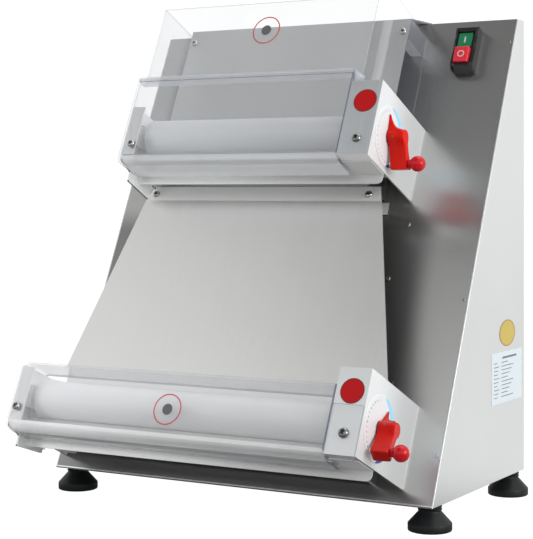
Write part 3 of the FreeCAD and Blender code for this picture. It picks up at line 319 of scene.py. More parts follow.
mat["foot"] = plastic("foot_rubber", (0.004, 0.0055, 0.006), 0.50, 0.25, 2.5e-5, 1200.0, Specular_IOR_Level=0.30)
mat["dial"] = plastic("dial_plastic", (0.66, 0.675, 0.69), 0.35, 0.02, 3.0e-6)
mat["loom"] = plastic("loom_jacket", (0.05, 0.05, 0.055), 0.5, 0.15, 1.0e-5)
mat["disc_red"] = plastic("disc_red", (0.43, 0.006, 0.008), 0.36, 0.05, 2.0e-6, Specular_IOR_Level=0.15)
mat["disc_rim"] = plastic("disc_rim", (0.07, 0.012, 0.012), 0.40, 0.05, 2.0e-6)
mat["ring_red"] = plastic("ring_red", (0.50, 0.060, 0.070), 0.36, 0.05, 2.0e-6)
mat["spot_grey"] = plastic("spot_grey", (0.10, 0.10, 0.105), 0.40, 0.08, 2.0e-6)
mat["disc_yellow"] = plastic("disc_yellow", (0.44, 0.335, 0.040), 0.36, 0.05, 2.0e-6)
mat["disc_amber"] = plastic("disc_amber", (0.34, 0.13, 0.035), 0.40, 0.05, 2.0e-6)
mat["label"] = plastic("label_white", (0.54, 0.60, 0.63), 0.32, 0.02, 2.0e-6)
mat["label_ink"] = plastic("label_lines", (0.10, 0.13, 0.16), 0.45, 0.10, 2.0e-6)
mat["white_mark"] = plastic("white_mark", (0.50, 0.50, 0.50), 0.40, 0.02, 2.0e-6)
mat["mark_grey"] = plastic("mark_grey", (0.16, 0.165, 0.18), 0.50, 0.10, 2.0e-6)
# dark shade painted on the brackets' downward faces, in the lever's index hole and under the panel's rolled edge
mat["painted_shade_dark"] = plastic("painted_shade_dark", (0.09, 0.09, 0.10), 0.50, 0.10, 2.0e-6)
# bright strips standing for edges that catch the light: painted highlight
mat["seam"] = steel("seam_painted_highlight", (0.95, 0.955, 0.96), 0.30, "s", 0.01, 0.03, 900.0)


def clear(name, face=(0.62, 0.64, 0.675), edge=(0.34, 0.36, 0.42), a0=0.08, a1=0.62, rough=0.05, painted_light_shade_along_x=None):
    """clear moulded plastic: see-through face on, greyer and denser where the sheet is seen along its thickness"""
    m = M(name, face, 0.0, rough, IOR=1.49)
    lw = m.node("ShaderNodeLayerWeight")
    lw.inputs["Blend"].default_value = 0.35
    cl = m.noise(m.coord((9, 9, 9)), 1.0, 3.0, 0.5)
    a = m.ramp(lw.outputs["Facing"], 0.30, 1.0, a0, a1, True)
    a = m.math("MULTIPLY", a, m.ramp(cl, 0.3, 0.7, 0.88, 1.12))
    # painted highlight: the sheet's opacity changes along x
    if painted_light_shade_along_x:
        x0, x1, k0, k1_ = painted_light_shade_along_x
        tc = m.node("ShaderNodeTexCoord")
        sx_ = m.node("ShaderNodeSeparateXYZ")
        m.link(tc.outputs["Object"], sx_.inputs[0])
        a = m.math("MULTIPLY", a, m.ramp(sx_.outputs["X"], x0, x1, k0, k1_, True))
    m.link(a, m.b.inputs["Alpha"])
    m.link(m.mix(m.ramp(lw.outputs["Facing"], 0.45, 1.0, 0.0, 1.0, True), face, edge), m.b.inputs["Base Color"])
    return m.m


mat["clear"] = clear("clear_guard")
mat["clear_edge"] = clear("clear_guard_edge", (0.20, 0.22, 0.29), (0.14, 0.16, 0.22), 0.66, 0.88, 0.10)
mat["clear_fold"] = clear("clear_guard_fold", (0.62, 0.65, 0.70), (0.40, 0.43, 0.49), 0.22, 0.60, 0.05)
mat["clear_hood"] = clear("clear_hood", (0.64, 0.665, 0.70), (0.46, 0.48, 0.53), 0.13, 0.55)
mat["clear_rim"] = clear("clear_pale_rim", (0.56, 0.59, 0.64), (0.40, 0.43, 0.49), 0.35, 0.70, 0.08)
# the pale bands on the guards' folds and step are painted highlights; the lower one fades along x
mat["clear_band"] = clear("clear_highlight_band", (0.84, 0.86, 0.885), (0.62, 0.64, 0.68), 0.34, 0.72, 0.06)
mat["clear_bandl"] = clear("clear_highlight_band_lower", (0.95, 0.96, 0.97), (0.72, 0.74, 0.78), 0.40, 0.76, 0.06, painted_light_shade_along_x=(-0.22, 0.16, 1.25, 0.7))
# the upper lip's whiter, denser sheet is painted light over the shade behind it
mat["clear_lipw"] = clear("clear_upper_lip", (0.88, 0.90, 0.92), (0.66, 0.68, 0.72), 0.64, 0.80, 0.05)
mat["clear_low"] = clear("clear_cover", (0.72, 0.735, 0.76), (0.40, 0.42, 0.46), 0.10, 0.62)
# the lower lip's whiter, denser sheet is painted light over the shaded cross bars behind it
mat["clear_lip"] = clear("clear_lip", (0.66, 0.67, 0.69), (0.46, 0.47, 0.51), 0.46, 0.66)
mat["clear_faint"] = clear("clear_faint_rim", (0.66, 0.68, 0.72), (0.52, 0.54, 0.58), 0.16, 0.45, 0.08)
# the hood's side wall is tinted dark: painted shade beside the gear case
mat["clear_side"] = clear("clear_side_wall", (0.22, 0.24, 0.29), (0.14, 0.16, 0.22), 0.03, 0.36)


def setmat(o, m):
    if isinstance(m, str):
        m = mat[m]
    o.data.materials.clear()
    o.data.materials.append(m)


NODE_MAT = {
    "front_panel": "panel", "left_side_panel": "side", "right_side_panel": "side", "rear_panel": "rear", "base_plate": "base",
    "feed_plate": "feed", "chute_plate": "sheet", "chute_brackets": "bracket_painted_shade", "upper_guard": "clear", "lower_guard": "clear",
    "roller_bearings": "bearing", "rear_scrapers": "bearing", "cross_bars": "cross", "dial_plates": "dial",
    "drive_belts": "belt", "jackshaft": "shaft", "jackshaft_bracket": "base", "gearmotor": "motor", "motor_shaft": "shaft",
    "motor_pulleys": "bearing", "switch_body": "black", "start_button": "green", "stop_button": "stop", "cord_gland": "black",
    "wiring_loom": "loom", "unit_screws": "screw", "plate_screws": "screw", "panel_screws": "screw",
}
for u in ("upper", "lower"):
    NODE_MAT.update({u + "_left_bracket": "bracket", u + "_bearing_plate": "bracket", u + "_gear_case": "case_up" if u == "upper" else "case", u + "_rear_roller": "roller",
                     u + "_front_roller": "roller", u + "_rear_shaft": "shaft", u + "_front_shaft": "shaft", u + "_rear_gear": "gear",
                     u + "_front_gear": "gear", u + "_bearing_blocks": "blocks", u + "_front_scraper": "bearing", u + "_lever": "red",
                     u + "_index_knob": "ball", u + "_scroll_shaft": "shaft"})
for o_ in N:
    if o_.startswith("foot_"):
        NODE_MAT[o_] = "foot"
missing = [n for n in N if n not in NODE_MAT]
for n, o in N.items():
    setmat(o, NODE_MAT.get(n, "case"))
# the lower rollers take the lighter copy of the roller plastic
for n in ("lower_front_roller", "lower_rear_roller"):
    setmat(N[n], "roller_low")
# gear cases: side faces take the painted light-and-shade side copy, downward faces the painted underside copies
for n in ("upper_gear_case", "lower_gear_case"):
    me_ = N[n].data
    me_.materials.append(mat["case_side"])
    me_.materials.append(mat["case_under_up" if n[0] == "u" else "case_under"])
    for p_ in me_.polygons:
        p_.material_index = 1 if abs(p_.normal.x) > 0.9 else 2 if p_.normal.dot(ES) < -0.6 else 0


# left brackets: painted light on the inner +X faces, painted shade on the downward faces
for n in ("upper_left_bracket", "lower_left_bracket"):
    me_ = N[n].data
    me_.materials.append(mat["bracket_in"])
    me_.materials.append(mat["painted_shade_dark"])
    for p_ in me_.polygons:
        p_.material_index = 1 if p_.normal.x > 0.9 else 2 if p_.normal.dot(ES) < -0.45 and abs(p_.normal.x) < 0.3 else 0
me_ = N["panel_screws"].data
me_.materials.append(mat["panel"])
for p_ in me_.polygons:
    c_ = sum((me_.vertices[i].co for i in p_.vertices), Vector((0, 0, 0))) / len(p_.vertices)
    p_.material_index = 1 if c_.z < 0.16 and c_.y < 0.1 else 0
# chute brackets: front-facing upper faces take the painted-light copy
me_ = N["chute_brackets"].data
me_.materials.append(mat["bracket_tab_painted_light"])
for p_ in me_.polygons:
    c_ = sum((me_.vertices[i].co for i in p_.vertices), Vector((0, 0, 0))) / len(p_.vertices)
    p_.material_index = 1 if p_.normal.dot(EN) > 0.9 and (c_ - S(0, 0, 0)).dot(ES) > 0.25 else 0
# feed plate: painted shade on its +X side faces, painted light on its undersides
me_ = N["feed_plate"].data
me_.materials.append(mat["feed_side"])
me_.materials.append(mat["bracket_in"])
for p_ in me_.polygons:
    p_.material_index = 1 if p_.normal.x > 0.9 else 2 if p_.normal.z < -0.9 else 0
# the chute's bent top strip takes the painted-light copy
me_ = N["chute_plate"].data
me_.materials.append(mat["sheet_top"])
for p_ in me_.polygons:
    p_.material_index = 1 if 0.9 < abs(p_.normal.dot(EN)) < 0.995 else 0


def soften(node, width, seg=2, angle=35.0):
    """small edge radius on a CAD node, as a modifier"""
    o = N[node]
    if "custom_normal" in o.data.attributes:
        o.data.attributes.remove(o.data.attributes["custom_normal"])
    w = o.modifiers.new("weld", "WELD")
    w.merge_threshold = 1e-6
    b = o.modifiers.new("edge", "BEVEL")
    b.width = width * MM
    b.segments = seg
    b.limit_method = "ANGLE"
    b.angle_limit = radians(angle)
    b.use_clamp_overlap = True
    b.harden_normals = False
    for p in o.data.polygons:
        p.use_smooth = True
    wn = o.modifiers.new("normals", "WEIGHTED_NORMAL")
    wn.keep_sharp = False
    wn.weight = 60


for n_, w_, sg_ in (("upper_gear_case", 0.9, 3), ("lower_gear_case", 0.9, 3), ("right_side_panel", 1.0, 3), ("left_side_panel", 1.0, 3),
                    ("upper_left_bracket", 0.6, 2), ("lower_left_bracket", 0.6, 2)):
    soften(n_, w_, sg_)


# ------------------------------------------------------------------ mesh helpers
def obj(name, bm, mats, body, smooth=40.0):
    me = bpy.data.meshes.new(name)
    bm.to_mesh(me)
    bm.free()
    o = bpy.data.objects.new(name, me)
    scene.collection.objects.link(o)
    for m in mats:
        me.materials.append(mat[m])
    if smooth:
        for p in me.polygons:
            p.use_smooth = True
        me.set_sharp_from_angle(angle=radians(smooth))
    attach(o, body)
    return o


def frame_at(origin, ex, ey, ez):
    return Matrix((( ex[0], ey[0], ez[0], origin[0]), (ex[1], ey[1], ez[1], origin[1]), (ex[2], ey[2], ez[2], origin[2]), (0, 0, 0, 1)))


def on_front(x, s, n):
    """frame on a face that looks out of the panel: x right, y up the slope, z out"""
    return frame_at(S(x, s, n), (1, 0, 0), ES, EN)


def on_side(p):
    """frame on a face that looks to +X: x to the rear, y up, z out"""
    return frame_at(p, (0, 1, 0), (0, 0, 1), (1, 0, 0))


def disc(name, mtx, r, h, m, body, seg=64, r_in=0.0, bevel=0.0):
    """flat disc or ring, sizes in mm, standing on the frame's xy plane"""
    bm = bmesh.new()
    rings = []
    prof = [(r, 0.0), (r, h - bevel), (r - bevel, h), (r_in, h)] if r_in > 0 else [(r, 0.0), (r, h - bevel), (r - bevel, h)]
    if r_in > 0:
        prof.append((r_in, 0.0))
    for rr, z in prof:
        rings.append([bm.verts.new(mtx @ Vector((rr * cos(2 * pi * i / seg) * MM, rr * sin(2 * pi * i / seg) * MM, z * MM))) for i in range(seg)])
    for a, b in zip(rings, rings[1:]):
        for i in range(seg):
            j = (i + 1) % seg
            bm.faces.new((a[i], a[j], b[j], b[i]))
    if r_in <= 0:
        bm.faces.new(rings[-1])
    return obj(name, bm, [m], body)


def plate(name, mtx, x0, x1, y0, y1, h, m, body, r=0.0, seg=6):
    """flat rounded rectangle, sizes in mm"""
    bm = bmesh.new()
    pts = []
    if r > 0:
        for cx, cy, a0 in ((x1 - r, y1 - r, 0), (x0 + r, y1 - r, 90), (x0 + r, y0 + r, 180), (x1 - r, y0 + r, 270)):
            for i in range(seg + 1):
                a = radians(a0 + 90.0 * i / seg)
                pts.append((cx + r * cos(a), cy + r * sin(a)))
    else:
        pts = [(x1, y1), (x0, y1), (x0, y0), (x1, y0)]
    lo = [bm.verts.new(mtx @ Vector((x * MM, y * MM, 0))) for x, y in pts]
    hi = [bm.verts.new(mtx @ Vector((x * MM, y * MM, h * MM))) for x, y in pts]
    n = len(pts)
    for i in range(n):
        j = (i + 1) % n
        bm.faces.new((lo[i], lo[j], hi[j], hi[i]))
    bm.faces.new(hi)
    return obj(name, bm, [m], body)


def revolve(name, origin, axis, prof, m, body, seg=64, smooth=35.0):
    """profile of (radius, height) in mm turned about an axis through origin (metres)"""
    z = Vector(axis).normalized()
    x = z.orthogonal().normalized()
    y = z.cross(x)
    bm = bmesh.new()
    rings = []
    for r, h in prof:
        if r <= 1e-6:
            rings.append([bm.verts.new(Vector(origin) + z * h * MM)])
        else:
            rings.append([bm.verts.new(Vector(origin) + (x * cos(2 * pi * i / seg) + y * sin(2 * pi * i / seg)) * r * MM + z * h * MM) for i in range(seg)])
    for a, b in zip(rings, rings[1:]):
        for i in range(seg):
            j = (i + 1) % seg
            if len(a) == 1 and len(b) > 1:
                bm.faces.new((a[0], b[i], b[j]))
            elif len(b) == 1 and len(a) > 1:
                bm.faces.new((a[i], b[0], a[j]))
            elif len(a) > 1:
                bm.faces.new((a[i], a[j], b[j], b[i]))
    bmesh.ops.recalc_face_normals(bm, faces=bm.faces)
    return obj(name, bm, [m], body, smooth)


# ------------------------------------------------------------------ clear guards
SHEET = ["clear", "clear_edge", "clear_fold", "clear_edge", "clear_hood", "clear_rim", "clear_band", "clear_rim", "clear_low", "clear_edge", "clear_lip", "clear_edge", "clear_side", "clear_faint", "clear_lipw", "clear_rim", "clear_bandl", "clear_rim"]


def shell(name, pts, faces, folds, body, node, out_face, thick=2.5):
    """sheet from corner points (x, s, n): flat faces with a material each, folds given as (i, j, radius, material), thickness inwards; the rim takes the material after the face's own"""
    bm = bmesh.new()
    v = [bm.verts.new(S(*p)) for p in pts]
    fs = []
    for f, mi in faces:
        fs.append(bm.faces.new([v[i] for i in f]))
        fs[-1].material_index = mi
    bm.edges.ensure_lookup_table()
    bmesh.ops.recalc_face_normals(bm, faces=bm.faces)
    bm.faces.ensure_lookup_table()
    if fs[out_face[0]].normal.dot(Vector(out_face[1])) < 0:
        bmesh.ops.reverse_faces(bm, faces=bm.faces)
    kinds = sorted({(r, mi) for _, _, r, mi in folds}, reverse=True)
    lay = bm.edges.layers.int.new("fold")
    for i, j, r, mi in folds:
        e = bm.edges.get((v[i], v[j]))
        if e is not None:
            e[lay] = kinds.index((r, mi)) + 1
    for q, (r, mi) in enumerate(kinds):
        es = [e for e in bm.edges if e.is_valid and e[lay] == q + 1 and len(e.link_faces) == 2]
        for e in es:
            e[lay] = 0
        bmesh.ops.bevel(bm, geom=es, offset=r * MM, offset_type="OFFSET", segments=6, profile=0.5, affect="EDGES", clamp_overlap=True, material=mi, miter_outer="SHARP", miter_inner="SHARP")
    o = obj(name, bm, SHEET, body, 0)
    for p in o.data.polygons:
        p.use_smooth = True
    sd = o.modifiers.new("thickness", "SOLIDIFY")
    sd.thickness = thick * MM
    sd.offset = -1.0
    sd.use_even_offset = True
    sd.material_offset_rim = 1
    sd.material_offset = 0
    sp_ = o.modifiers.new("edges", "EDGE_SPLIT")
    sp_.split_angle = radians(38.0)
    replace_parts(o, node)
    return o


XL, XR, XH = -197.0, 120.8, 143.0
s0 = UP["s0"]
sa, sb, sh_, st = s0 - 6.0, s0 + 116.0, 475.0, 602.0
P = [(XL, sa, 88), (XR, sa, 88), (XL, sa, 131), (XR, sa, 131), (XL, sb, 131), (XR, sb, 131), (XL, sb, 110), (XR, sb, 110), (XL, st, 110), (XR, st, 110),
     (XL, sa, 60), (XL, st, 1), (XL, 459, 1), (XL, 430, 60)]
F = [
    ((0, 1, 3, 2), 14),                       # lower lip
    ((2, 3, 5, 4), 0),                        # front
    ((4, 5, 7, 6), 6),                        # step
    ((6, 7, 9, 8), 4),                        # hood
    ((0, 2, 4, 6, 8, 11, 12, 13, 10), 4),     # left wall
]
FO = [(2, 3, 11.0, 6), (2, 4, 11.0, 4), (0, 2, 11.0, 4), (4, 6, 9.0, 4), (6, 8, 9.0, 4), (4, 5, 7.0, 6), (6, 7, 7.0, 6)]
shell("upper_guard_clear", P, F, FO, "cabinet", "upper_guard", (1, EN))
P = [(XR, sh_, 110), (XH, sh_, 110), (XR, st, 110), (XH, st, 110), (XR, sh_, 60), (XH, sh_, 60), (XH, sh_, 1), (XH, st, 1)]
F = [((0, 1, 3, 2), 12), ((0, 4, 5, 1), 12), ((1, 5, 6, 7, 3), 12)]
FO = [(1, 3, 9.0, 4), (0, 1, 7.0, 12), (1, 5, 7.0, 12)]
shell("upper_guard_side_clear", P, F, FO, "cabinet", "upper_guard", (0, EN))
# crease under the step and the dark cut edge beside the gear case
plate("upper_guard_crease", on_front(0, 0, 131.0), XL + 9.0, XR - 0.2, sb - 7.4, sb - 6.4, 0.25, "clear_edge", "cabinet")
plate("upper_guard_lip_line", on_front(0, 0, 131.0), XL + 12.0, XR, sa + 9.6, sa + 10.4, 0.25, "clear_edge", "cabinet")
plate("upper_guard_cut", frame_at(S(XR, 0, 0), ES, EN, (-1, 0, 0)), sa + 9.0, sb - 6.4, 125.6, 131.2, 1.6, "clear_edge", "cabinet")
# curled web that closes the step beside the gear case
bm = bmesh.new()
ring_a, ring_b = [], []
for i in range(15):
    t = radians(-12.0 + 204.0 * i / 14.0)
    c_s, c_n = s0 + 108.0, 119.0
    ring_a.append(bm.verts.new(S(XR - 0.4, c_s + 8.6 * cos(t), c_n + 11.2 * sin(t))))
    ring_b.append(bm.verts.new(S(XR + 10.5 - 4.0 * abs(cos(t)), c_s - 3.0 + 7.0 * cos(t), c_n - 6.5 + 7.5 * sin(t))))
for i in range(14):
    bm.faces.new((ring_a[i], ring_a[i + 1], ring_b[i + 1], ring_b[i]))
bmesh.ops.recalc_face_normals(bm, faces=bm.faces)
web = obj("upper_guard_web", bm, ["clear_hood", "clear_rim"], "cabinet", 0)
for p_ in web.data.polygons:
    p_.use_smooth = True
ws = web.modifiers.new("thickness", "SOLIDIFY")
ws.thickness = 2.0 * MM
ws.offset = 0.0
ws.material_offset_rim = 1

XL, XR = -255.0, 182.6
s0 = LO["s0"]
sa, sb = s0 - 6.0, s0 + 80.5
P = [(XL, sa, 88), (XR, sa, 88), (XL, sa, 131), (XR, sa, 131), (XL, sb, 131), (XR, sb, 131), (XL, sb, 78), (XR, sb, 78),
     (XL, sa, 40), (XL, sb, 52), (XL, s0 + 60.0, 40)]
F = [((0, 1, 3, 2), 10), ((2, 3, 5, 4), 8), ((4, 5, 7, 6), 8), ((0, 2, 4, 6, 9, 10, 8), 8)]
FO = [(2, 3, 12.0, 16), (4, 5, 8.0, 8), (2, 4, 10.0, 8), (0, 2, 10.0, 8), (4, 6, 8.0, 8)]
shell("lower_guard_clear", P, F, FO, "cabinet", "lower_guard", (1, EN))
plate("lower_guard_cut", frame_at(S(XR, 0, 0), ES, EN, (-1, 0, 0)), sa + 10.0, sb - 3.0, 119.0, 131.2, 1.8, "clear_edge", "cabinet")
# flange of the lower guard that laps over the gear case, under its screw
fl_ = plate("lower_guard_flange", on_front(0, 0, 131.0), 183.0, 220.6, 12.0, 73.5, 1.3, "clear_low", "cabinet", 1.5)
fl_.data.materials.append(mat["clear_edge"])
for p_ in fl_.data.polygons:
    p_.material_index = 0 if abs(p_.normal.dot(EN)) > 0.7 else 1


# ------------------------------------------------------------------ levers
def lever(u, name, turn_deg):
    """red moulding: hub, waisted arm that leans outwards to its flat end, and a blade-like pointer against the dial"""
    xf, Sx = u["xf"], u["s0"] + AXIS_S
    p = radians(turn_deg)
    ea = ES * cos(p) + EN * sin(p)          # towards the pointer
    eb = -ES * sin(p) + EN * cos(p)
    O = S(xf, Sx, PIVOT_N)

    def W(x, a, b):
        lean = 0.13 * max(0.0, -a)
        return O + Vector((1, 0, 0)) * (x + lean) * MM + ea * a * MM + eb * b * MM

    # side view of the arm, pointer side positive
    half = []
    for i in range(0, 13):
        t = radians(90.0 - 130.0 * i / 12.0)
        half.append((8.9 * sin(t), 8.9 * cos(t)))
    a_end = half[-1]
    for a, w in ((-9.5, 5.25), (-13.0, 4.75), (-18.0, 4.7), (-23.0, 5.0), (-28.0, 5.7), (-32.5, 6.6), (-36.5, 7.5), (-38.2, 7.7), (-39.2, 6.9)):
        half.append((a, w))
    prof = half + [(a, -w) for a, w in reversed(half)]
    # drop doubled points on the axis
    loop = []
    for q in prof:
        if not loop or hypot(q[0] - loop[-1][0], q[1] - loop[-1][1]) > 0.05:
            loop.append(q)
    if hypot(loop[0][0] - loop[-1][0], loop[0][1] - loop[-1][1]) < 0.05:
        loop.pop()
    bm = bmesh.new()
    sl = []
    for x, k in ((1.6, 0.95), (2.6, 1.0), (9.0, 1.0), (16.0, 0.985), (21.2, 0.97), (22.2, 0.90)):
        sl.append([bm.verts.new(W(x, a * (k if a > -20 else 1 - (1 - k) * 0.35), b * k)) for a, b in loop])
    n = len(loop)
    for q, r in zip(sl, sl[1:]):
        for i in range(n):
            j = (i + 1) % n
            bm.faces.new((q[i], q[j], r[j], r[i]))
    bm.faces.new(sl[0])
    bm.faces.new(sl[-1])
    # pointer blade, slices along x
    L = ((1.4, 27.6, 0.6), (2.8, 26.6, 0.8), (4.2, 21.5, 1.3), (6.0, 16.6, 2.2), (8.5, 13.3, 3.2), (11.5, 11.2, 4.2), (15.0, 9.9, 5.2), (18.5, 9.0, 6.0))
    pl = []
    for x, l, w in L:
        root = 7.0
        pl.append([bm.verts.new(W(x, a, b)) for a, b in ((2.0, root + 1.2), (4.5 + 0.1 * l, min(root, root - 0.12 * (l - 9))), (l - 0.8, w), (l, 0.0), (l - 0.8, -w),
                                                       (4.5 + 0.1 * l, -min(root, root - 0.12 * (l - 9))), (2.0, -root - 1.2))])
    m_ = len(pl[0])
    for q, r in zip(pl, pl[1:]):
        for i in range(m_):
            j = (i + 1) % m_
            bm.faces.new((q[i], q[j], r[j], r[i]))
    bm.faces.new(pl[0])
    bm.faces.new(pl[-1])
    bmesh.ops.recalc_face_normals(bm, faces=bm.faces)
    # the lower lever takes the darker painted-shade copy of the red
    o = obj(name + "_lever_body", bm, ["red" if name == "upper" else "red_low"], name + "_lever", 38)
    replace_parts(o, name + "_lever")
    # index hole on the side of the hub
    c = W(9.5, 0.0, 8.75)
    mtx = frame_at(c, (1, 0, 0), ea, eb)
    # the hole is shown as a dark disc: painted shade in the recess
    disc(name + "_lever_set_screw", mtx, 1.2, 0.25, "painted_shade_dark", name + "_lever", 20)
    # ball on its short neck
    kb = O + Vector((38.5 * MM, 0, 0)) + ea * (-32.0) * MM
    pr = [(0.0, -17.5), (3.9, -17.5), (4.4, -16.0), (4.3, -12.5), (4.9, -9.6)]
    R = 9.4
    for i in range(0, 25):
        t = radians(-58.0 + 148.0 * i / 24.0)
        pr.append((max(0.0, R * cos(t)), R * sin(t)))
    pr[-1] = (0.0, R)
    k = revolve(name + "_knob_ball", kb, (1, 0, 0), pr, "ball", name + "_index_knob", 48, 50)
    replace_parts(k, name + "_index_knob")
    pin = revolve(name + "_knob_pin", kb, (1, 0, 0), [(0.0, -37.0), (2.4, -37.0), (3.0, -36.2), (3.0, -17.4), (0.0, -17.4)], "shaft", name + "_index_knob", 24)


lever(UP, "upper", UP["ptr"])
lever(LO, "lower", LO["ptr"])


# ------------------------------------------------------------------ dials
def dial_marks(u, name, a0, a1, size):
    xf, Sx = u["xf"], u["s0"] + AXIS_S
    O = S(xf, Sx, PIVOT_N)
    revolve(name + "_dial_disc", O, (1, 0, 0), [(9.6, 0.0), (9.6, 0.8), (37.0 - 0.4, 0.8), (37.0, 0.4), (37.0, 0.0)], "dial", "cabinet", 96)
    bm = bmesh.new()
    for i in range(19):
        a = radians(22.0 + 10.0 * i)
        c = O + Vector((0.86 * MM, 0, 0)) + (ES * cos(a) + EN * sin(a)) * 31.5 * MM
        r_ = size * (0.75 + 0.35 * ((i * 7) % 5) / 4.0)
        ring = [bm.verts.new(c + (ES * cos(2 * pi * q / 12) + EN * sin(2 * pi * q / 12)) * r_ * MM) for q in range(12)]
        bm.faces.new(ring)
    bmesh.ops.recalc_face_normals(bm, faces=bm.faces)
    obj(name + "_dial_dots", bm, ["mark_grey"], "cabinet", 0)
    # thin outline of the dial and the coloured wedge on its panel side
    bm = bmesh.new()
    n = 48
    ra, rb = [], []
    for i in range(n + 1):
        t = i / n
        a = radians(a0 + (a1 - a0) * t)
        w = 1.0 + 8.0 * max(0.0, sin(pi * t)) ** 0.6
        d = ES * cos(a) + EN * sin(a)
        ra.append(bm.verts.new(O + Vector((0.95 * MM, 0, 0)) + d * 36.6 * MM))
        rb.append(bm.verts.new(O + Vector((0.95 * MM, 0, 0)) + d * (36.6 - w) * MM))
    for i in range(n):
        bm.faces.new((ra[i], ra[i + 1], rb[i + 1], rb[i]))
    bmesh.ops.recalc_face_normals(bm, faces=bm.faces)
    obj(name + "_dial_wedge", bm, [name + "_wedge"], "cabinet", 0)


def wedge_mat(key, u):
    """light blue to dark blue, down the slope"""
    m = M(key, (0.25, 0.55, 0.80), 0.0, 0.4)
    c = S(u["xf"], u["s0"] + AXIS_S, PIVOT_N)
    tc = m.node("ShaderNodeTexCoord")
    dn = m.node("ShaderNodeVectorMath", operation="DOT_PRODUCT")
    m.link(tc.outputs["Object"], dn.inputs[0])
    dn.inputs[1].default_value = ES
    base = c.dot(ES)
    m.link(m.mix(m.ramp(dn.outputs["Value"], base - 0.030, base + 0.012), (0.012, 0.03, 0.24), (0.26, 0.60, 0.84)), m.b.inputs["Base Color"])
    mat[key] = m.m


wedge_mat("upper_wedge", UP)
wedge_mat("lower_wedge", LO)
dial_marks(UP, "upper", 8.0, -172.0, 0.75)
dial_marks(LO, "lower", -4.0, -172.0, 0.95)
for n_ in ("upper_dial_disc", "lower_dial_disc"):
    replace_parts(bpy.data.objects[n_], "dial_plates")


# ------------------------------------------------------------------ plain stickers and discs
def dot_sticker(name, mtx, r, rim, inner, outer, body="cabinet"):
    disc(name + "_rim", mtx, r, 0.22, outer, body, 72, r_in=r - rim)
    disc(name + "_face", mtx, r - rim, 0.24, inner, body, 72)


dot_sticker("upper_case_disc", on_front(144.0, 442.8, 131.0), 14.9, 0.9, "disc_red", "disc_rim")
dot_sticker("lower_case_disc", on_front(202.8, 88.8, 131.0), 14.4, 0.9, "disc_red", "disc_rim")
for nm, m4 in (("hood_ring", on_front(-30.0, 560.5, 110.0)), ("cover_ring", on_front(-25.0, 51.4, 131.0))):
    r_ = 19.5 if nm == "hood_ring" else 18.5
    disc(nm, m4, r_, 0.2, "ring_red", "cabinet", 72, r_in=r_ - 1.5)
    disc(nm + "_spot", m4, r_ * 0.36, 0.2, "spot_grey", "cabinet", 48)
dot_sticker("side_disc", on_side(C(260.0, 224.8, 176.6)) @ Matrix.Diagonal((1.6, 1.0, 1.0, 1.0)), 16.2, 1.3, "disc_yellow", "disc_amber")
lab = on_side(C(260.0, 0.0, 0.0))
plate("side_label", lab, 173.5, 273.5, 92.5, 154.5, 0.25, "label", "cabinet", 1.5)
bm = bmesh.new()


def bar(y0, y1, z0, z1):
    q = [bm.verts.new(C(260.32, y, z)) for y, z in ((y0, z0), (y1, z0), (y1, z1), (y0, z1))]
    bm.faces.new(q)


bar(208.0, 255.0, 146.2, 148.6)
for i in range(10):
    z = 141.5 - i * 4.6
    bar(181.0, 192.0 + 3.0 * ((i * 5) % 3), z, z + 0.9)
    bar(205.0, 226.0 + 6.0 * ((i * 7) % 4), z, z + 0.9)
bmesh.ops.recalc_face_normals(bm, faces=bm.faces)
obj("side_label_lines", bm, ["label_ink"], "cabinet", 0)

# domed pan heads with a cross recess stand for the plain ones
CH_SC = [(-182.0, 361.5), (126.5, 361.5), (-225.0, 135.0), (176.0, 135.0)]


def head(name, x, s, n, r, h, tilt=0.0, m="screw"):
    o_ = S(x, s, n)
    ax = EN * cos(tilt) + ES * sin(tilt)
    pr = [(r, -1.0), (r, 0.5)]
    for i in range(1, 10):
        t = i / 9.0
        pr.append((r * cos(t * pi / 2 * 0.985) ** 0.9, 0.5 + (h - 0.5) * sin(t * pi / 2)))
    pr[-1] = (0.0, h)
    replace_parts(revolve(name, o_, ax, pr, m, "cabinet", 40, 60), "plate_screws" if "case" not in name and "flange" not in name else "unit_screws")
    ey = (ES * cos(tilt) - EN * sin(tilt))
    for k, a in enumerate((radians(35.0), radians(125.0))):
        vx = Vector((1, 0, 0)) * cos(a) + ey * sin(a)
        vy = ey * cos(a) - Vector((1, 0, 0)) * sin(a)
        plate(name + "_slot_%d" % k, frame_at(o_ + ax * (h - 0.25) * MM, vx, vy, ax), -r * 0.52, r * 0.52, -r * 0.17, r * 0.17, 0.32, "black", "cabinet")


for nm, u, sx, ss in (("upper", UP, 143.0, 21.5), ("lower", LO, 202.5, 24.0)):
    head(nm + "_case_screw", sx, u["s0"] + ss, 131.0 if nm == "upper" else 132.3, 5.7, 4.0 if nm == "upper" else 3.6, 0.0, "screw_dark")
    head(nm + "_flange_screw", u["xl"] + (14.0 if nm == "upper" else 9.5), u["s0"] + (20.0 if nm == "upper" else 22.5), 131.0, 5.0, 3.4)
for i_, (x, s_) in enumerate(((130.0, 585.0), (-181.0, 585.0))):
    head("feed_screw_%d" % i_, x, s_, 48.0, 4.6, 3.0)
for i_, (x, s_) in enumerate(CH_SC):
    nn = 45.0 - max(0.0, s_ - 352.0) * tan(radians(9.0))
    if i_ < 2:
        head("chute_screw_%d" % i_, x, s_, nn, 4.8, 3.2, radians(9.0))
    else:                                # flush rivets of the plate's own steel low down
        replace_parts(revolve("chute_rivet_%d" % i_, S(x, s_, nn), EN, [(3.4, -0.6), (3.4, 0.03), (0.0, 0.03)], "sheet", "cabinet", 40, 30), "plate_screws")

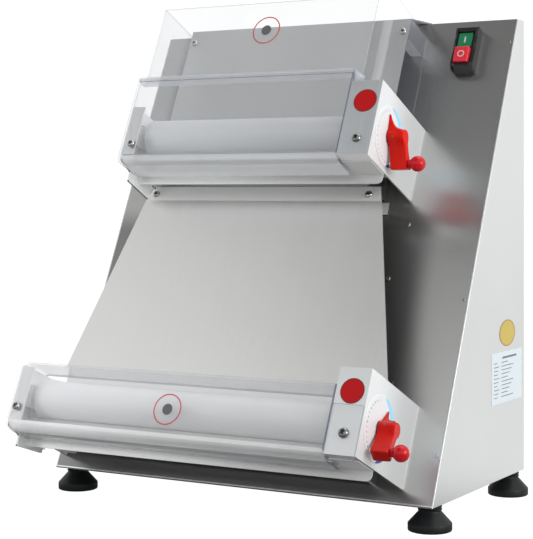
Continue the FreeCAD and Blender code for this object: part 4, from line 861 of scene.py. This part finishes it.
# switch marks: a bar on the start button, a ring on the stop button
plate("start_mark", on_front(198.6, 590.5, 11.0), -0.9, 0.9, -4.2, 4.2, 0.15, "white_mark", "start_button", 0.4)
disc("stop_mark", on_front(198.9, 567.5, 16.6), 4.6, 0.15, "white_mark", "stop_button", 40, r_in=3.3)

# painted highlight: a bright strip stands for the folded edge where each gear case meets the panel catching the light
for nm, u in (("upper", UP), ("lower", LO)):
    plate(nm + "_case_seam", frame_at(S(u["xf"], u["s0"] + 1.0, 0.2), ES, EN, (1, 0, 0)), 0.0, 96.0, 0.0, 1.3, 0.45, "seam", "cabinet")

# rolled lower edge of the panel, shown as a painted highlight strip with a painted shade strip under it
plate("panel_edge_bright", on_front(0, 0, 0.0), -259.0, 259.0, 1.6, 3.0, 0.3, "seam", "cabinet")
plate("panel_edge_dark", on_front(0, 0, 0.0), -259.0, 259.0, 0.1, 1.4, 0.3, "painted_shade_dark", "cabinet")

# ------------------------------------------------------------------ feet
for n_ in sorted(N):
    if n_.startswith("foot_"):
        lo_, hi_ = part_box(n_)
        c_ = Vector(((lo_[0] + hi_[0]) / 2, (lo_[1] + hi_[1]) / 2, 0.0))
        r_ = (hi_[0] - lo_[0]) / 2 / MM
        pr = [(0, 0.2), (r_ - 1.6, 0.2), (r_ - 0.4, 0.8), (r_, 2.0), (r_, 5.2), (r_, 8.6), (r_ - 0.3, 9.3), (r_ - 0.9, 9.9), (13.6, 21.4), (12.9, 22.3),
              (12.7, 23.0), (13.3, 23.4), (13.6, 24.0), (13.6, 25.0), (13.0, 25.5), (12.6, 26.0), (13.2, 26.5), (13.6, 27.1), (13.6, 28.4), (13.1, 29.1), (4.2, 29.4), (4.2, 50.0), (0, 50.0)]
        f_ = revolve(n_ + "_pad", c_, (0, 0, 1), pr, "foot", n_, 72, 40)
        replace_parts(f_, n_)


# ------------------------------------------------------------------ camera
cam_d = bpy.data.cameras.new("camera")
cam = bpy.data.objects.new("camera", cam_d)
scene.collection.objects.link(cam)
scene.camera = cam
F_PX, AZ = 1545.0, radians(30.1)
cam_d.sensor_width = 36.0
cam_d.sensor_fit = "AUTO"
cam_d.lens = F_PX / 539.0 * 36.0
cam_d.shift_x = (266.5 - 266.0) / 539.0
cam_d.shift_y = -(269.5 - 192.0) / 539.0
cam_d.clip_start, cam_d.clip_end = 0.05, 50.0
cam.location = (0.95415, -1.65419, 0.37913)
cam.rotation_mode = "XYZ"
cam.rotation_euler = (radians(90.0), 0.0, AZ)

# ------------------------------------------------------------------ studio
floor_me = bpy.data.meshes.new("floor")
bmf = bmesh.new()
bmesh.ops.create_grid(bmf, x_segments=1, y_segments=1, size=6.0)
bmf.to_mesh(floor_me)
bmf.free()
floor = bpy.data.objects.new("floor", floor_me)
floor.location = (0, 0, -0.0002)
scene.collection.objects.link(floor)
fm = M("floor_white", (0.16, 0.16, 0.155), 0.0, 0.9)
fm.set("Specular IOR Level", 0.0)
fm.set("Emission Color", (1, 1, 1, 1))
lpf = fm.node("ShaderNodeLightPath")
gr = fm.node("ShaderNodeVectorMath", operation="DOT_PRODUCT")
tcf = fm.node("ShaderNodeTexCoord")
fm.link(tcf.outputs["Object"], gr.inputs[0])
gr.inputs[1].default_value = (0.5, 0.86, 0.0)
back = fm.ramp(gr.outputs["Value"], 0.05, 0.45, 0.13, 0.72, True)
fm.link(fm.math("MAXIMUM", back, lpf.outputs["Is Camera Ray"]), fm.b.inputs["Emission Strength"])
floor_me.materials.append(fm.m)

world = bpy.data.worlds.new("studio")
scene.world = world
world.use_nodes = True
wt = world.node_tree
for n in list(wt.nodes):
    wt.nodes.remove(n)
out = wt.nodes.new("ShaderNodeOutputWorld")
bg_cam = wt.nodes.new("ShaderNodeBackground")
bg_cam.inputs["Color"].default_value = (1, 1, 1, 1)
bg_cam.inputs["Strength"].default_value = 1.1
bg = wt.nodes.new("ShaderNodeBackground")
mixw = wt.nodes.new("ShaderNodeMixShader")
lp = wt.nodes.new("ShaderNodeLightPath")
wt.links.new(lp.outputs["Is Camera Ray"], mixw.inputs[0])
wt.links.new(bg.outputs[0], mixw.inputs[1])
wt.links.new(bg_cam.outputs[0], mixw.inputs[2])
wt.links.new(mixw.outputs[0], out.inputs["Surface"])
tcw = wt.nodes.new("ShaderNodeTexCoord")


def wdot(vec):
    n = wt.nodes.new("ShaderNodeVectorMath")
    n.operation = "DOT_PRODUCT"
    wt.links.new(tcw.outputs["Generated"], n.inputs[0])
    n.inputs[1].default_value = Vector(vec).normalized()
    return n.outputs["Value"]


def wrange(val, a, b, c, d):
    n = wt.nodes.new("ShaderNodeMapRange")
    n.interpolation_type = "SMOOTHSTEP"
    for k, v in (("From Min", a), ("From Max", b), ("To Min", c), ("To Max", d)):
        n.inputs[k].default_value = v
    wt.links.new(val, n.inputs["Value"])
    return n.outputs["Result"]


def wmath(op, a, b):
    n = wt.nodes.new("ShaderNodeMath")
    n.operation = op
    for i, v in enumerate((a, b)):
        if isinstance(v, (int, float)):
            n.inputs[i].default_value = v
        else:
            wt.links.new(v, n.inputs[i])
    return n.outputs[0]


def direction(az_left, elev):
    """unit vector pointing away from the object: degrees to the left of -Y, and above the horizon"""
    a, e = radians(az_left), radians(elev)
    return (-sin(a) * cos(e), -cos(a) * cos(e), sin(e))


dark = wdot(direction(30.0, 60.0))
k1 = wrange(dark, cos(radians(29.5)), cos(radians(13.0)), 1.0, 0.09)
wt.links.new(wmath("MULTIPLY", k1, 1.0), bg.inputs["Strength"])
bg.inputs["Color"].default_value = (1.0, 1.0, 1.0, 1)


def area(name, loc, target, size, power, color=(1, 1, 1)):
    l = bpy.data.lights.new(name, "AREA")
    l.shape = "RECTANGLE"
    l.size, l.size_y = size
    l.energy = power
    l.color = color
    o = bpy.data.objects.new(name, l)
    o.location = loc
    d = Vector(target) - Vector(loc)
    o.rotation_mode = "QUATERNION"
    o.rotation_quaternion = d.to_track_quat("-Z", "Y")
    scene.collection.objects.link(o)
    return o


area("top_soft", (0.3, 0.4, 2.2), (0, 0, 0.2), (1.8, 1.4), 10.0)
area("right_soft", (2.3, -0.35, 0.9), (0.1, 0, 0.3), (1.2, 1.2), 30.0)
left_low = area("left_low_soft", (-0.70, -0.66, 0.26), (-0.15, -0.10, 0.17), (0.3, 0.3), 2.2)
left_low.visible_glossy = False

scene.view_settings.view_transform = "Standard"
scene.view_settings.look = "None"
scene.view_settings.exposure = 0.0
scene.view_settings.gamma = 1.0
